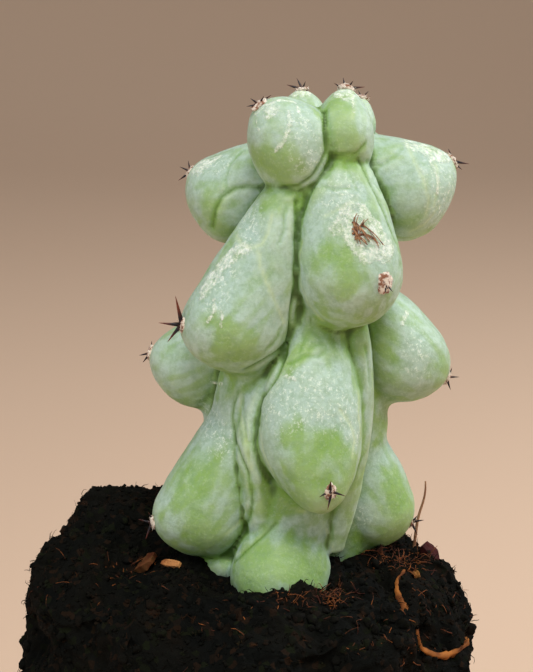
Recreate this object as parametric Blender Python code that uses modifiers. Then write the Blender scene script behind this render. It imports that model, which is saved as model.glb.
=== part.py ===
"""A small monstrose cactus with drooping tubercles, in a block of peat that stands in a plain clay pot."""

import math
import random
from collections import namedtuple

import bmesh
import bpy
from mathutils import Matrix, Vector, noise

MM = 0.001

# Driving sizes, in millimetres. The plant's heights are counted from the peat's top, where the stem stands.
POT_HEIGHT = 64.0
POT_INNER_RADIUS = 46.4
POT_RIM_RADIUS = 50.8
POT_RIM_DEPTH = 15.0
POT_BODY_RADIUS = 48.6
POT_BASE_RADIUS = 36.0
POT_WALL = 4.2
POT_FLOOR = 5.0
POT_DRAIN_RADIUS = 5.0
POT_SIDES = 56
PEAT_ABOVE_RIM = 34.0
PEAT_TOP = POT_HEIGHT + PEAT_ABOVE_RIM
PEAT_RADIUS = 45.6
PEAT_SIDES = 76
PEAT_FOOT = 2.6
STEM_HEIGHT = 95.0
STEM_FOOT_X = 7.0
STEM_LEAN_X = 8.0
ROOT_CROWN_RADIUS = 15.0
ROOT_CROWN_DEPTH = 13.0
ROOT_CROWN_HEIGHT = -3.0

# Gaps in millimetres: between pieces that touch, round the plant's foot, and round what lies in the peat.
CLEARANCE = 0.3
PRESS_CLEARANCE = 0.6
BED_CLEARANCE = 0.4

# How the skin is made: its voxels in millimetres, rounds of smoothing, and how far up the peat is shaped to it.
SKIN_VOXEL = 0.8
RIB_EASING = 14
SKIN_EASING = 2
SKIN_TRIANGLES = 6400
PRESS_TRIANGLES = 3000
PRESS_HEIGHT = 18.0

# A tubercle is a ball. A higher power draws it out to a narrower end.
NECK_POWER = 1.4
TIP_POWER = 3.2
NECK_OVERLAP = 0.4

# Spines that have no tips of their own: how many to an areole, their length, and their lean off its middle.
AREOLE_RADIUS = 1.9
AREOLE_FLATNESS = 0.5
SPINE_RADIUS = 0.42
SPINE_ROOT = 1.6
SPINE_COUNTS = (3, 4)
SPINE_LENGTHS = (2.8, 5.0)
SPINE_LEANS = (38, 66)
SPINE_STRAY = 18
SPINE_SEED = 7

# A place on the plant is (azimuth, reach, height). Azimuth 0 faces the front, -Y, and +90 faces +X.
# Reach is counted from the stem's leaning axis. Spines are their tips, counted in x, y and z from the areole.
# A tubercle with spines=None gets its spines by rule, and one with tip=None ends in its areole.
Tubercle = namedtuple(
    "Tubercle",
    "neck belly radius areole spines tip neck_power",
    defaults=(None, None, NECK_POWER),
)
Rib = namedtuple("Rib", "azimuths tubercles")

RIDGE_HEIGHTS = (-6.0, 12.0, 45.0, 72.0, 86.0)
RIDGE_REACHES = (8.0, 11.0, 10.0, 7.0, 3.0)
RIDGE_RADII = (9.0, 9.5, 8.0, 6.5, 4.5)

RIBS = {
    "front": Rib(
        azimuths=(-2, 4, 14, 20, 20),
        tubercles=(
            Tubercle(
                neck=(22, 8, 81),
                belly=(30, 15, 61),
                radius=10.2,
                areole=(33, 25.0, 60.9),
                spines=((-0.4, -2.4, 1.7), (0.9, -2.2, -1.3), (0.7, -1.1, -2.7), (2.3, -1.0, 0.5)),
            ),
            Tubercle(
                neck=(11, 11, 46),
                belly=(9, 16.4, 29.5),
                radius=10.3,
                areole=(14, 28.7, 22.0),
                spines=(
                    (0.0, -2.4, 3.0),
                    (2.8, -1.4, -0.4),
                    (-0.6, -1.4, -3.1),
                    (-2.2, -1.5, -0.6),
                    (0.3, -3.2, 0.8),
                ),
                tip=(13, 27.5, 17.3),
            ),
            Tubercle(
                neck=(-2, 10, 8),
                belly=(-2, 16.0, -0.5),
                radius=10.2,
                areole=(-2, 26.5, -3.0),
                spines=(),
            ),
        ),
    ),
    "front_left": Rib(
        azimuths=(-64, -62, -48, -40, -40),
        tubercles=(
            Tubercle(
                neck=(-22, 8, 79),
                belly=(-48.5, 17.2, 51.3),
                radius=10.4,
                areole=(-58.6, 26.8, 51.1),
                spines=((-1.2, -1.0, 5.9), (-4.5, -0.9, 0.6), (-2.8, -1.1, -3.2), (-1.6, -2.4, 1.0)),
                tip=(-60, 27.4, 48.6),
                neck_power=2.4,
            ),
            Tubercle(
                neck=(-58, 10, 34),
                belly=(-64, 17.8, 11.5),
                radius=9.6,
                areole=(-69.5, 28.6, 9.6),
                spines=((-2.9, -0.5, 0.8), (-1.5, -0.7, -3.3), (-0.9, -0.9, 2.4)),
            ),
        ),
    ),
    "left": Rib(
        azimuths=(-112, -108, -103, -106, -110),
        tubercles=(
            Tubercle(
                neck=(-105, 5, 80),
                belly=(-110, 16.6, 72.2),
                radius=9.2,
                areole=(-110, 26.7, 77.1),
                spines=((-2.3, 0.0, 1.1), (-2.6, 0.1, -1.7), (-0.6, 0.4, 2.3)),
            ),
            Tubercle(
                neck=(-103, 9, 50),
                belly=(-103, 21, 38.0),
                radius=8.6,
                areole=(-101, 31.0, 40.5),
                spines=((-2.4, 0.0, -0.6), (0.2, 0.1, 2.4), (-1.7, 0.4, -2.2)),
            ),
            Tubercle(
                neck=(-112, 10, 20),
                belly=(-118, 18, 4),
                radius=8.5,
                areole=(-120, 27.0, 2.5),
                spines=(),
            ),
        ),
    ),
    "back_left": Rib(
        azimuths=(-168, -164, -158, -158, -156),
        tubercles=(
            Tubercle(neck=(-158, 6, 84), belly=(-160, 16, 62), radius=9.6, areole=(-162, 26.0, 60.0)),
            Tubercle(neck=(-160, 9, 46), belly=(-164, 18, 24), radius=10.0, areole=(-166, 28.0, 20.0)),
        ),
    ),
    "back_right": Rib(
        azimuths=(146, 146, 142, 140, 138),
        tubercles=(
            Tubercle(neck=(142, 6, 84), belly=(144, 15.5, 75), radius=8.8, areole=(146, 25.0, 78.0)),
            Tubercle(neck=(142, 9, 62), belly=(144, 18, 42), radius=9.6, areole=(146, 29.0, 41.0)),
            Tubercle(neck=(146, 10, 24), belly=(148, 17.5, 8), radius=9.2, areole=(150, 27.0, 7.5)),
        ),
    ),
    "right": Rib(
        azimuths=(90, 90, 90, 92, 94),
        tubercles=(
            Tubercle(
                neck=(92, 5, 80),
                belly=(94, 17.0, 74.4),
                radius=9.8,
                areole=(96, 26.7, 80.4),
                spines=((3.4, -0.5, -0.6), (-0.8, -0.4, 2.4), (2.1, 0.5, -1.9)),
            ),
            Tubercle(
                neck=(90, 9, 54),
                belly=(90, 19.5, 41.5),
                radius=9.6,
                areole=(88, 30.0, 37.0),
                spines=((2.4, -0.4, 0.2), (0.9, -0.6, 2.2), (0.7, -0.8, -2.4)),
            ),
            Tubercle(
                neck=(90, 10, 26),
                belly=(90, 17.4, 9.8),
                radius=8.8,
                areole=(86, 25.9, 6.6),
                spines=((2.5, -0.8, 0.8), (1.2, -1.1, -2.3), (1.0, -1.6, 2.0)),
            ),
        ),
    ),
}

CROWN_BUDS = (
    Tubercle(
        neck=(-22, 8, 78),
        belly=(-37, 10.4, 85.3),
        radius=8.0,
        areole=(-50, 16.3, 93.0),
        spines=((-2.4, -1.0, -0.2), (-1.7, -0.6, 1.3), (2.3, 0.4, 1.8), (0.9, -1.4, 1.8)),
    ),
    Tubercle(
        neck=(33, 9, 82),
        belly=(35, 8.4, 86.4),
        radius=5.9,
        areole=(58, 5.4, 94.6),
        spines=((-2.4, -0.4, 1.3), (1.3, -0.9, 1.8), (3.6, 0.0, 0.5), (-0.6, 0.7, 2.2)),
    ),
    Tubercle(
        neck=(-156, 4, 84),
        belly=(-156, 8.7, 88.4),
        radius=4.6,
        areole=(-155, 9.9, 93.6),
        spines=((-3.0, 0.2, 1.0), (0.7, -0.9, 1.8), (-1.0, 0.9, 2.2)),
    ),
    Tubercle(neck=(137, 4, 82), belly=(137, 9.5, 86.0), radius=4.6, areole=(136, 11.5, 92.0)),
)

# Narrow folds of skin between the ribs, each a line of (azimuth, reach, height, radius).
FOLDS = {
    "fold_high": (
        (-14, 10.5, 82, 3.0),
        (-19, 13.5, 72, 4.2),
        (-21, 15.3, 61, 4.6),
        (-20, 15.3, 50, 4.6),
        (-16, 13.0, 40, 3.5),
    ),
    "fold_left": (
        (-24, 12.0, 44, 2.4),
        (-34, 16.6, 35, 3.0),
        (-29, 17.2, 25, 3.2),
        (-20, 16.4, 14, 3.0),
        (-15, 14.0, 5, 2.4),
    ),
    "fold_right": (
        (44, 13.5, 53, 2.2),
        (44, 17.0, 42, 2.8),
        (45, 17.6, 29, 3.0),
        (41, 16.6, 16, 2.8),
        (37, 15.0, 5, 2.6),
    ),
    "fold_low": (
        (-76, 17.0, -1, 3.6),
        (-60, 18.5, 0, 3.8),
        (-44, 16.0, 1, 3.6),
        (-30, 12.0, 1, 3.0),
    ),
}

# The turned outline of the peat above the pot's rim, as (share of the radius, depth below the top).
PEAT_PROFILE = (
    (0.10, 0.0),
    (0.25, 0.0),
    (0.38, 0.0),
    (0.48, 0.0),
    (0.57, 0.2),
    (0.66, 0.6),
    (0.74, 1.4),
    (0.81, 2.9),
    (0.88, 5.4),
    (0.935, 9.0),
    (0.968, 13.2),
    (0.986, 17.8),
    (0.995, 22.8),
    (1.0, 28.0),
)

# What makes the peat uneven. Broad lumps are (x, y, spread, height), and rough ones are (size, depth).
# The left shoulder is squarer than the right, and the pot holds the peat still up to its rim.
# Without a seed, Blender's vector noise is different each run.
PEAT_SEED = 19
PEAT_LUMPS = ((-27, 19, 12.0, 7.5), (-40, -2, 10.0, 4.0))
PEAT_LUMP_DEPTH = 30.0
PEAT_ROUGHNESS = ((12.0, 3.6), (5.5, 2.6))
PEAT_SQUARENESS = 0.5
PEAT_SHOULDER = 20.0
PEAT_HOLD = 8.0

# Bits of bark and wood in the peat: where they lie (x, y), how they are turned, and length, width, thickness.
Chip = namedtuple("Chip", "place turn size colour")
CHIPS = {
    "bark_chip_left": Chip(place=(-20.5, -7.8), turn=70, size=(4.4, 3.2, 1.5), colour=(0.30, 0.10, 0.035)),
    "bark_chip_right": Chip(place=(37.5, 5.0), turn=100, size=(4.6, 3.4, 1.8), colour=(0.10, 0.020, 0.018)),
    "wood_sliver_left": Chip(place=(-15.0, -14.4), turn=14, size=(5.4, 1.5, 1.0), colour=(0.50, 0.22, 0.09)),
    "wood_sliver_right": Chip(place=(34.0, -7.0), turn=35, size=(4.2, 1.5, 1.0), colour=(0.45, 0.17, 0.06)),
}
CHIP_TAPER = 0.9
CHIP_ROUGHNESS = 0.7

# Dry straws. The bent one lies on the peat, so its points have no height of their own.
STRAW_BENT = ((30.8, -12.2), (29.0, -16.0), (29.6, -22.4), (33.6, -26.6), (39.4, -21.6), (43.6, -13.4))
STRAW_BENT_RADIUS = 0.55
STRAW_BENT_LIFT = 0.35
STRAW_UPRIGHT = (
    (34.4, 9.6, -8.0),
    (35.0, 10.0, -1.0),
    (35.4, 10.0, 5.0),
    (37.2, 10.2, 8.0),
    (37.0, 10.6, 11.4),
)
STRAW_UPRIGHT_RADIUS = 0.4

# Each finish is its linear colour and its roughness.
SKIN_FINISH = ((0.36, 0.50, 0.30), 0.55)
CLAY_FINISH = ((0.52, 0.20, 0.10), 0.85)
PEAT_FINISH = ((0.020, 0.014, 0.010), 0.95)
STRAW_FINISH = ((0.45, 0.20, 0.08), 0.6)
WEATHERED_STRAW_FINISH = ((0.40, 0.20, 0.10), 0.6)


def stem_point(azimuth, reach, height):
    """The point in metres at this azimuth, reach and height of the leaning stem."""
    turn = math.radians(azimuth)
    x = STEM_FOOT_X + STEM_LEAN_X * height / STEM_HEIGHT + reach * math.sin(turn)
    return Vector((x, -reach * math.cos(turn), PEAT_TOP + height)) * MM


def clear_scene():
    for obj in list(bpy.data.objects):
        bpy.data.objects.remove(obj, do_unlink=True)


def linked(name, data, collection):
    """A new object of this name, in this collection only."""
    obj = bpy.data.objects.new(name, data)
    collection.objects.link(obj)
    return obj


def mesh_object(name, shape, collection):
    """A new object with the mesh of this bmesh, which is freed."""
    mesh = bpy.data.meshes.new(name)
    shape.to_mesh(mesh)
    shape.free()
    return linked(name, mesh, collection)


def applied(obj):
    """The object with its modifiers applied, as a mesh object of the same name and place."""
    bpy.context.view_layer.update()
    graph = bpy.context.evaluated_depsgraph_get()
    mesh = bpy.data.meshes.new_from_object(obj.evaluated_get(graph))
    name, place, collection = obj.name, obj.matrix_world.copy(), obj.users_collection[0]
    bpy.data.objects.remove(obj, do_unlink=True)
    mesh.transform(place)
    return linked(name, mesh, collection)


def welded(obj):
    """The mesh with the points of its loose caps merged into their rims."""
    shape = bmesh.new()
    shape.from_mesh(obj.data)
    bmesh.ops.remove_doubles(shape, verts=shape.verts, dist=0.001 * MM)
    bmesh.ops.recalc_face_normals(shape, faces=shape.faces)
    shape.to_mesh(obj.data)
    shape.free()
    return obj


def joined(name, objects, collection):
    """One mesh object that holds the meshes of all these objects, which are removed."""
    merged = bmesh.new()
    for obj in objects:
        merged.from_mesh(obj.data)
        bpy.data.objects.remove(obj, do_unlink=True)
    return mesh_object(name, merged, collection)


def fused(obj, voxel, rounds):
    """The object's overlapping closed shapes grown into one skin, then eased by rounds of smoothing."""
    remesh = obj.modifiers.new("Grow together", "REMESH")
    remesh.mode = "VOXEL"
    remesh.voxel_size = voxel * MM
    ease = obj.modifiers.new("Ease", "SMOOTH")
    ease.factor = 0.5
    ease.iterations = rounds
    return applied(obj)


def thinned(obj, triangles):
    """The mesh brought down to about this many triangles."""
    faces = sum(len(polygon.vertices) - 2 for polygon in obj.data.polygons)
    thin = obj.modifiers.new("Thin out", "DECIMATE")
    thin.ratio = min(1.0, triangles / faces)
    return applied(obj)


def tube(name, points, collection, sides, steps=6):
    """A closed tube through points of (place, radius in millimetres)."""
    curve = bpy.data.curves.new(name, "CURVE")
    curve.dimensions = "3D"
    curve.bevel_depth = MM
    curve.bevel_resolution = sides
    curve.resolution_u = steps
    curve.use_fill_caps = True
    line = curve.splines.new("NURBS")
    line.points.add(len(points) - 1)
    line.use_endpoint_u = True
    line.order_u = 4
    for point, (place, radius) in zip(line.points, points):
        point.co = (*place, 1.0)
        point.radius = radius
    return welded(applied(linked(name, curve, collection)))


def pulled(direction, length, normal, power):
    """How far a ball's point with this normal moves when the ball is pulled out along a direction."""
    return direction * length * max(0.0, normal.dot(direction)) ** power


def tubercle_ball(name, tubercle, collection, extra):
    """One tubercle: a ball pulled up to its neck on the stem, and out to its tip."""
    centre = stem_point(*tubercle.belly)
    radius = (tubercle.radius + extra) * MM
    to_neck = stem_point(*tubercle.neck) - centre
    to_tip = stem_point(*(tubercle.tip or tubercle.areole)) - centre
    neck_length = max(0.0, to_neck.length - NECK_OVERLAP * radius)
    tip_length = max(0.0, to_tip.length + extra * MM - radius)
    to_neck.normalize()
    to_tip.normalize()
    ball = bmesh.new()
    bmesh.ops.create_uvsphere(ball, u_segments=40, v_segments=24, radius=1.0)
    for vert in ball.verts:
        normal = vert.co.normalized()
        vert.co = centre + normal * radius
        vert.co += pulled(to_neck, neck_length, normal, tubercle.neck_power)
        vert.co += pulled(to_tip, tip_length, normal, TIP_POWER)
    return mesh_object(name, ball, collection)


def rib_ridge(name, azimuths, collection, extra):
    """The rib's own upright ridge, a fat tube that follows the stem."""
    points = []
    for azimuth, reach, height, radius in zip(azimuths, RIDGE_REACHES, RIDGE_HEIGHTS, RIDGE_RADII):
        points.append((stem_point(azimuth, reach, height), radius + extra))
    return tube(name, points, collection, sides=5)


def skin_fold(name, line, collection, extra):
    """A narrow fold of skin between two ribs."""
    points = [(stem_point(azimuth, reach, height), radius + extra) for azimuth, reach, height, radius in line]
    return tube(name, points, collection, sides=4)


def root_crown(collection, extra):
    """The buried foot of the stem, a blunt ball under the ribs."""
    radius = ROOT_CROWN_RADIUS + extra
    ball = bmesh.new()
    bmesh.ops.create_uvsphere(ball, u_segments=40, v_segments=24, radius=MM)
    bmesh.ops.scale(ball, vec=(radius, radius, ROOT_CROWN_DEPTH + extra), verts=ball.verts)
    bmesh.ops.translate(ball, vec=stem_point(0, 0, ROOT_CROWN_HEIGHT), verts=ball.verts)
    return mesh_object("root_crown", ball, collection)


def plant_skin(name, collection, extra=0.0):
    """The plant's whole skin: each rib is fused by itself and eased, and the ribs are then pressed together."""
    grown = []
    for rib_name, rib in RIBS.items():
        shapes = [rib_ridge(rib_name + "_ridge", rib.azimuths, collection, extra)]
        for number, tubercle in enumerate(rib.tubercles):
            shapes.append(tubercle_ball(f"{rib_name}_{number}", tubercle, collection, extra))
        rib_shape = joined(rib_name, shapes, collection)
        grown.append(fused(rib_shape, SKIN_VOXEL, RIB_EASING))
    for number, bud in enumerate(CROWN_BUDS):
        grown.append(tubercle_ball(f"crown_bud_{number}", bud, collection, extra))
    for fold_name, line in FOLDS.items():
        grown.append(skin_fold(fold_name, line, collection, extra))
    grown.append(root_crown(collection, extra))
    return fused(joined(name, grown, collection), SKIN_VOXEL, SKIN_EASING)


def all_tubercles():
    for rib in RIBS.values():
        yield from rib.tubercles
    yield from CROWN_BUDS


def spine_tips(tubercle, outward, draw):
    """The tips of one areole's spines: those given, or a ring that leans out of the areole."""
    if tubercle.spines is not None:
        return [Vector(tip) * MM for tip in tubercle.spines]
    across = outward.cross(Vector((0, 0, 1))).normalized()
    up = across.cross(outward)
    count = draw.choice(SPINE_COUNTS)
    start = draw.uniform(0, 360)
    tips = []
    for number in range(count):
        turn = math.radians(start + 360 * number / count + draw.uniform(-SPINE_STRAY, SPINE_STRAY))
        lean = math.radians(draw.uniform(*SPINE_LEANS))
        sideways = across * math.cos(turn) + up * math.sin(turn)
        tip = outward * math.cos(lean) + sideways * math.sin(lean)
        tips.append(tip * draw.uniform(*SPINE_LENGTHS) * MM)
    return tips


def facing(direction, place):
    """A placement at this point with its Z axis along the direction."""
    return Matrix.Translation(place) @ direction.to_track_quat("Z", "Y").to_matrix().to_4x4()


def areole_pad(name, place, outward, collection):
    """The low woolly cushion that the spines grow from."""
    pad = bmesh.new()
    bmesh.ops.create_uvsphere(pad, u_segments=9, v_segments=6, radius=AREOLE_RADIUS * MM)
    bmesh.ops.scale(pad, vec=(1, 1, AREOLE_FLATNESS), verts=pad.verts)
    bmesh.ops.transform(pad, matrix=facing(outward, place), verts=pad.verts)
    return mesh_object(name, pad, collection)


def spine(name, place, tip, collection):
    """One spine, a slim four-sided cone with its root sunk in the skin."""
    length = tip.length + SPINE_ROOT * MM
    cone = bmesh.new()
    bmesh.ops.create_cone(cone, cap_ends=True, segments=4, radius1=SPINE_RADIUS * MM, radius2=0, depth=length)
    bmesh.ops.translate(cone, vec=(0, 0, length / 2 - SPINE_ROOT * MM), verts=cone.verts)
    bmesh.ops.transform(cone, matrix=facing(tip, place), verts=cone.verts)
    return mesh_object(name, cone, collection)


def with_areoles(skin):
    """The skin with its woolly areoles and spines grown on, by one union."""
    areoles = bpy.data.collections.new("Areoles")
    bpy.context.scene.collection.children.link(areoles)
    draw = random.Random(SPINE_SEED)
    for number, tubercle in enumerate(all_tubercles()):
        _, place, outward, _ = skin.closest_point_on_mesh(stem_point(*tubercle.areole))
        tips = spine_tips(tubercle, outward, draw)
        if not tips:
            continue
        areole_pad(f"areole_{number}", place, outward, areoles)
        for count, tip in enumerate(tips):
            spine(f"spine_{number}_{count}", place, tip, areoles)
    grow = skin.modifiers.new("Grow spines", "BOOLEAN")
    grow.operation = "UNION"
    grow.operand_type = "COLLECTION"
    grow.collection = areoles
    grow.solver = "EXACT"
    skin = applied(skin)
    for obj in list(areoles.objects):
        bpy.data.objects.remove(obj, do_unlink=True)
    bpy.data.collections.remove(areoles)
    return skin


def turned(name, outline, sides, collection):
    """A solid turned about the Z axis from its closed outline, which runs down the outer side first."""
    profile = bmesh.new()
    verts = [profile.verts.new((radius * MM, 0, height * MM)) for radius, height in outline]
    for here, after in zip(verts, verts[1:]):
        profile.edges.new((here, after))
    if outline[0][0] > 0:
        profile.edges.new((verts[-1], verts[0]))
    obj = mesh_object(name, profile, collection)
    screw = obj.modifiers.new("Turn", "SCREW")
    screw.steps = sides
    screw.render_steps = sides
    screw.use_merge_vertices = True
    screw.merge_threshold = 0.00001
    screw.use_normal_calculate = False
    return applied(obj)


def clay_pot(collection):
    """A plain thrown pot with a thick rim band and a drain hole."""
    step = POT_HEIGHT - POT_RIM_DEPTH
    inner_base = POT_BASE_RADIUS - POT_WALL
    outline = (
        (POT_RIM_RADIUS - 0.9, POT_HEIGHT),
        (POT_RIM_RADIUS, POT_HEIGHT - 0.9),
        (POT_RIM_RADIUS - 0.5, step + 0.8),
        (POT_RIM_RADIUS - 1.2, step),
        (POT_BODY_RADIUS - 1.2, step - 1.0),
        (POT_BASE_RADIUS + 0.5, 1.2),
        (POT_BASE_RADIUS - 0.6, 0.0),
        (POT_DRAIN_RADIUS + 0.5, 0.0),
        (POT_DRAIN_RADIUS, 0.5),
        (POT_DRAIN_RADIUS, POT_FLOOR - 0.5),
        (POT_DRAIN_RADIUS + 0.5, POT_FLOOR),
        (inner_base - 2.0, POT_FLOOR),
        (inner_base, POT_FLOOR + 2.0),
        (POT_INNER_RADIUS, POT_HEIGHT - 1.0),
        (POT_INNER_RADIUS + 0.9, POT_HEIGHT),
    )
    return turned("pot", outline, POT_SIDES, collection)


def peat_lift(place):
    """How far the peat's uneven top stands above its turned outline here, in millimetres."""
    depth = PEAT_TOP - place.z
    squareness = PEAT_SQUARENESS * max(0.0, -place.x / PEAT_RADIUS)
    lift = squareness * depth * max(0.0, 1 - depth / PEAT_SHOULDER)
    for x, y, spread, height in PEAT_LUMPS:
        away = ((place.x - x) ** 2 + (place.y - y) ** 2) / (2 * spread**2)
        lift += height * math.exp(-away) * max(0.0, 1 - depth / PEAT_LUMP_DEPTH)
    return lift


def peat_block(collection):
    """The peat: plain where the pot holds it, and rough, round-shouldered and uneven above the rim."""
    rim = POT_HEIGHT + CLEARANCE
    foot_radius = POT_BASE_RADIUS - POT_WALL - 2 * CLEARANCE
    outline = [(0.0, PEAT_TOP)]
    outline += [(share * PEAT_RADIUS, PEAT_TOP - depth) for share, depth in PEAT_PROFILE]
    outline += [
        (PEAT_RADIUS, rim),
        (foot_radius, POT_FLOOR + PEAT_FOOT),
        (foot_radius - PEAT_FOOT, POT_FLOOR + CLEARANCE),
        (0.0, POT_FLOOR + CLEARANCE),
    ]
    block = turned("soil_ball", outline, PEAT_SIDES, collection)
    noise.seed_set(PEAT_SEED)
    for vert in block.data.vertices:
        place = vert.co / MM
        if place.z < rim + 1.0:
            continue
        share = math.hypot(place.x, place.y) / PEAT_RADIUS
        place.z += peat_lift(place)
        hold = min(1.0, (place.z - rim) / PEAT_HOLD)
        rough = Vector()
        for size, depth in PEAT_ROUGHNESS:
            rough += noise.noise_vector(place / size) * depth * hold
        place += Vector((rough.x * share, rough.y * share, rough.z))
        vert.co = place * MM
    return block


def foot_of(obj, height):
    """The part of the mesh below this height, closed off flat."""
    shape = bmesh.new()
    shape.from_mesh(obj.data)
    geometry = shape.verts[:] + shape.edges[:] + shape.faces[:]
    level = Vector((0, 0, height * MM))
    bmesh.ops.bisect_plane(shape, geom=geometry, plane_co=level, plane_no=Vector((0, 0, 1)), clear_outer=True)
    rim = [edge for edge in shape.edges if edge.is_boundary]
    bmesh.ops.holes_fill(shape, edges=rim, sides=0)
    bmesh.ops.triangulate(shape, faces=shape.faces)
    shape.to_mesh(obj.data)
    shape.free()
    return obj


def pressed_in(obj, cutters):
    """The object with the shapes of this collection pressed into it."""
    carve = obj.modifiers.new("Press in", "BOOLEAN")
    carve.operation = "DIFFERENCE"
    carve.operand_type = "COLLECTION"
    carve.collection = cutters
    carve.solver = "EXACT"
    made = applied(obj)
    for cutter in list(cutters.objects):
        bpy.data.objects.remove(cutter, do_unlink=True)
    bpy.data.collections.remove(cutters)
    return made


def peat_spot(peat, x, y):
    """The place on the peat under this point, and which way the peat faces there."""
    _, place, outward, _ = peat.ray_cast(Vector((x, y, 2 * PEAT_TOP)) * MM, Vector((0, 0, -1)))
    return place, outward


def chip_solid(name, chip, spot, collection, extra=0.0):
    """A flat bit of bark or wood, narrower at one end, that lies half sunk in the peat."""
    place, outward = spot
    length, width, thickness = (side + 2 * extra for side in chip.size)
    block = bmesh.new()
    bmesh.ops.create_cube(block, size=1.0)
    bmesh.ops.subdivide_edges(block, edges=block.edges, cuts=2, use_grid_fill=True)
    for vert in block.verts:
        bulge = 1.0 - CHIP_TAPER * vert.co.x**2
        vert.co = Vector((vert.co.x * length, vert.co.y * width * bulge, vert.co.z * thickness * bulge)) * MM
    turn = Matrix.Rotation(math.radians(chip.turn), 4, "Z")
    bmesh.ops.transform(block, matrix=facing(outward, place) @ turn, verts=block.verts)
    return mesh_object(name, block, collection)


def straw_bent(name, spots, collection, extra=0.0):
    """The flat-lying straw, which follows the peat from spot to spot."""
    points = [(place + outward * STRAW_BENT_LIFT * MM, STRAW_BENT_RADIUS + extra) for place, outward in spots]
    return tube(name, points, collection, sides=1, steps=4)


def straw_upright(name, collection, extra=0.0):
    """The thin straw that stands in the peat behind the plant."""
    points = []
    for x, y, height in STRAW_UPRIGHT:
        points.append((Vector((x, y, PEAT_TOP + height)) * MM, STRAW_UPRIGHT_RADIUS + extra))
    return tube(name, points, collection, sides=1, steps=4)


def painted(obj, finish):
    """The object with its own plain material."""
    colour, roughness = finish
    material = bpy.data.materials.new(obj.name)
    material.use_nodes = True
    shader = material.node_tree.nodes["Principled BSDF"]
    shader.inputs["Base Color"].default_value = (*colour, 1.0)
    shader.inputs["Roughness"].default_value = roughness
    shader.inputs["Metallic"].default_value = 0.0
    obj.data.materials.clear()
    obj.data.materials.append(material)
    obj.data.shade_smooth()
    return obj


def main():
    clear_scene()
    parts = bpy.data.collections.new("Potted lobed cactus")
    cutters = bpy.data.collections.new("Cutters")
    bpy.context.scene.collection.children.link(parts)
    bpy.context.scene.collection.children.link(cutters)

    skin = thinned(plant_skin("cactus", parts), SKIN_TRIANGLES)
    painted(with_areoles(skin), SKIN_FINISH)
    painted(clay_pot(parts), CLAY_FINISH)

    peat = peat_block(parts)
    chip_spots = {name: peat_spot(peat, *chip.place) for name, chip in CHIPS.items()}
    straw_spots = [peat_spot(peat, x, y) for x, y in STRAW_BENT]
    for name, chip in CHIPS.items():
        solid = chip_solid(name, chip, chip_spots[name], parts)
        painted(solid, (chip.colour, CHIP_ROUGHNESS))
        chip_solid(name + "_bed", chip, chip_spots[name], cutters, extra=BED_CLEARANCE)
    painted(straw_bent("straw_bent", straw_spots, parts), STRAW_FINISH)
    straw_bent("straw_bent_bed", straw_spots, cutters, extra=BED_CLEARANCE)
    painted(straw_upright("straw_upright", parts), WEATHERED_STRAW_FINISH)
    straw_upright("straw_upright_bed", cutters, extra=BED_CLEARANCE)
    press = plant_skin("press", cutters, extra=PRESS_CLEARANCE)
    thinned(foot_of(press, PEAT_TOP + PRESS_HEIGHT), PRESS_TRIANGLES)
    painted(pressed_in(peat, cutters), PEAT_FINISH)


main()
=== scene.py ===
import math
import random

import bmesh
import bpy
import numpy as np
from mathutils import Matrix, Vector, noise
from mathutils.bvhtree import BVHTree


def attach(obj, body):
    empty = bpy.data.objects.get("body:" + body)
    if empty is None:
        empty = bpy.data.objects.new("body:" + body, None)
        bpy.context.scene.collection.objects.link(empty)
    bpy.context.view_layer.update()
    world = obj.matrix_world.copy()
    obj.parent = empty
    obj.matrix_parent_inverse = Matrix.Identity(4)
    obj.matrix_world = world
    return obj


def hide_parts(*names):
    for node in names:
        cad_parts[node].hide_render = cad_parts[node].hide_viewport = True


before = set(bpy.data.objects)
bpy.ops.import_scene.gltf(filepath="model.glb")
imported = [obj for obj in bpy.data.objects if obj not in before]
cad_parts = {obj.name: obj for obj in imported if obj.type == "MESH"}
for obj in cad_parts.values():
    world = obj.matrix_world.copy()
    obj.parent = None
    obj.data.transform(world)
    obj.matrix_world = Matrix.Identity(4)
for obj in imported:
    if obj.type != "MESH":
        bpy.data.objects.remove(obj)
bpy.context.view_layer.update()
MM = 0.001


# The photographer's place. The lens looks down a little on the middle of the plant from about 40 cm away.
# A place on the photograph is written in its own pixels, and view_ray is the line of sight through it.
PHOTO_WIDTH = 533
PHOTO_HEIGHT = 672
PHOTO_FOCAL = 1950
LOOK_DOWN = math.radians(14)
LENS_DISTANCE = 390 * MM
PEAT_TOP = 98 * MM
AIM = Vector((3.7 * MM, 0, PEAT_TOP + 45.4 * MM))
TO_LENS = Vector((0, -math.cos(LOOK_DOWN), math.sin(LOOK_DOWN)))
LENS = AIM + TO_LENS * LENS_DISTANCE
PHOTO_UP = Vector((0, math.sin(LOOK_DOWN), math.cos(LOOK_DOWN)))
PHOTO_RIGHT = Vector((1, 0, 0))


def view_ray(across, down):
    ray = PHOTO_RIGHT * (across - PHOTO_WIDTH / 2) + PHOTO_UP * (PHOTO_HEIGHT / 2 - down) - TO_LENS * PHOTO_FOCAL
    return ray.normalized()


def add_camera():
    data = bpy.data.cameras.new("photo_camera")
    data.sensor_fit = "VERTICAL"
    data.sensor_height = 24
    data.lens = 24 * PHOTO_FOCAL / PHOTO_HEIGHT
    data.clip_start = 0.01
    camera = bpy.data.objects.new("photo_camera", data)
    camera.location = LENS
    camera.rotation_euler = (-TO_LENS).to_track_quat("-Z", "Y").to_euler()
    bpy.context.scene.collection.objects.link(camera)
    bpy.context.scene.camera = camera


add_camera()


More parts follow.
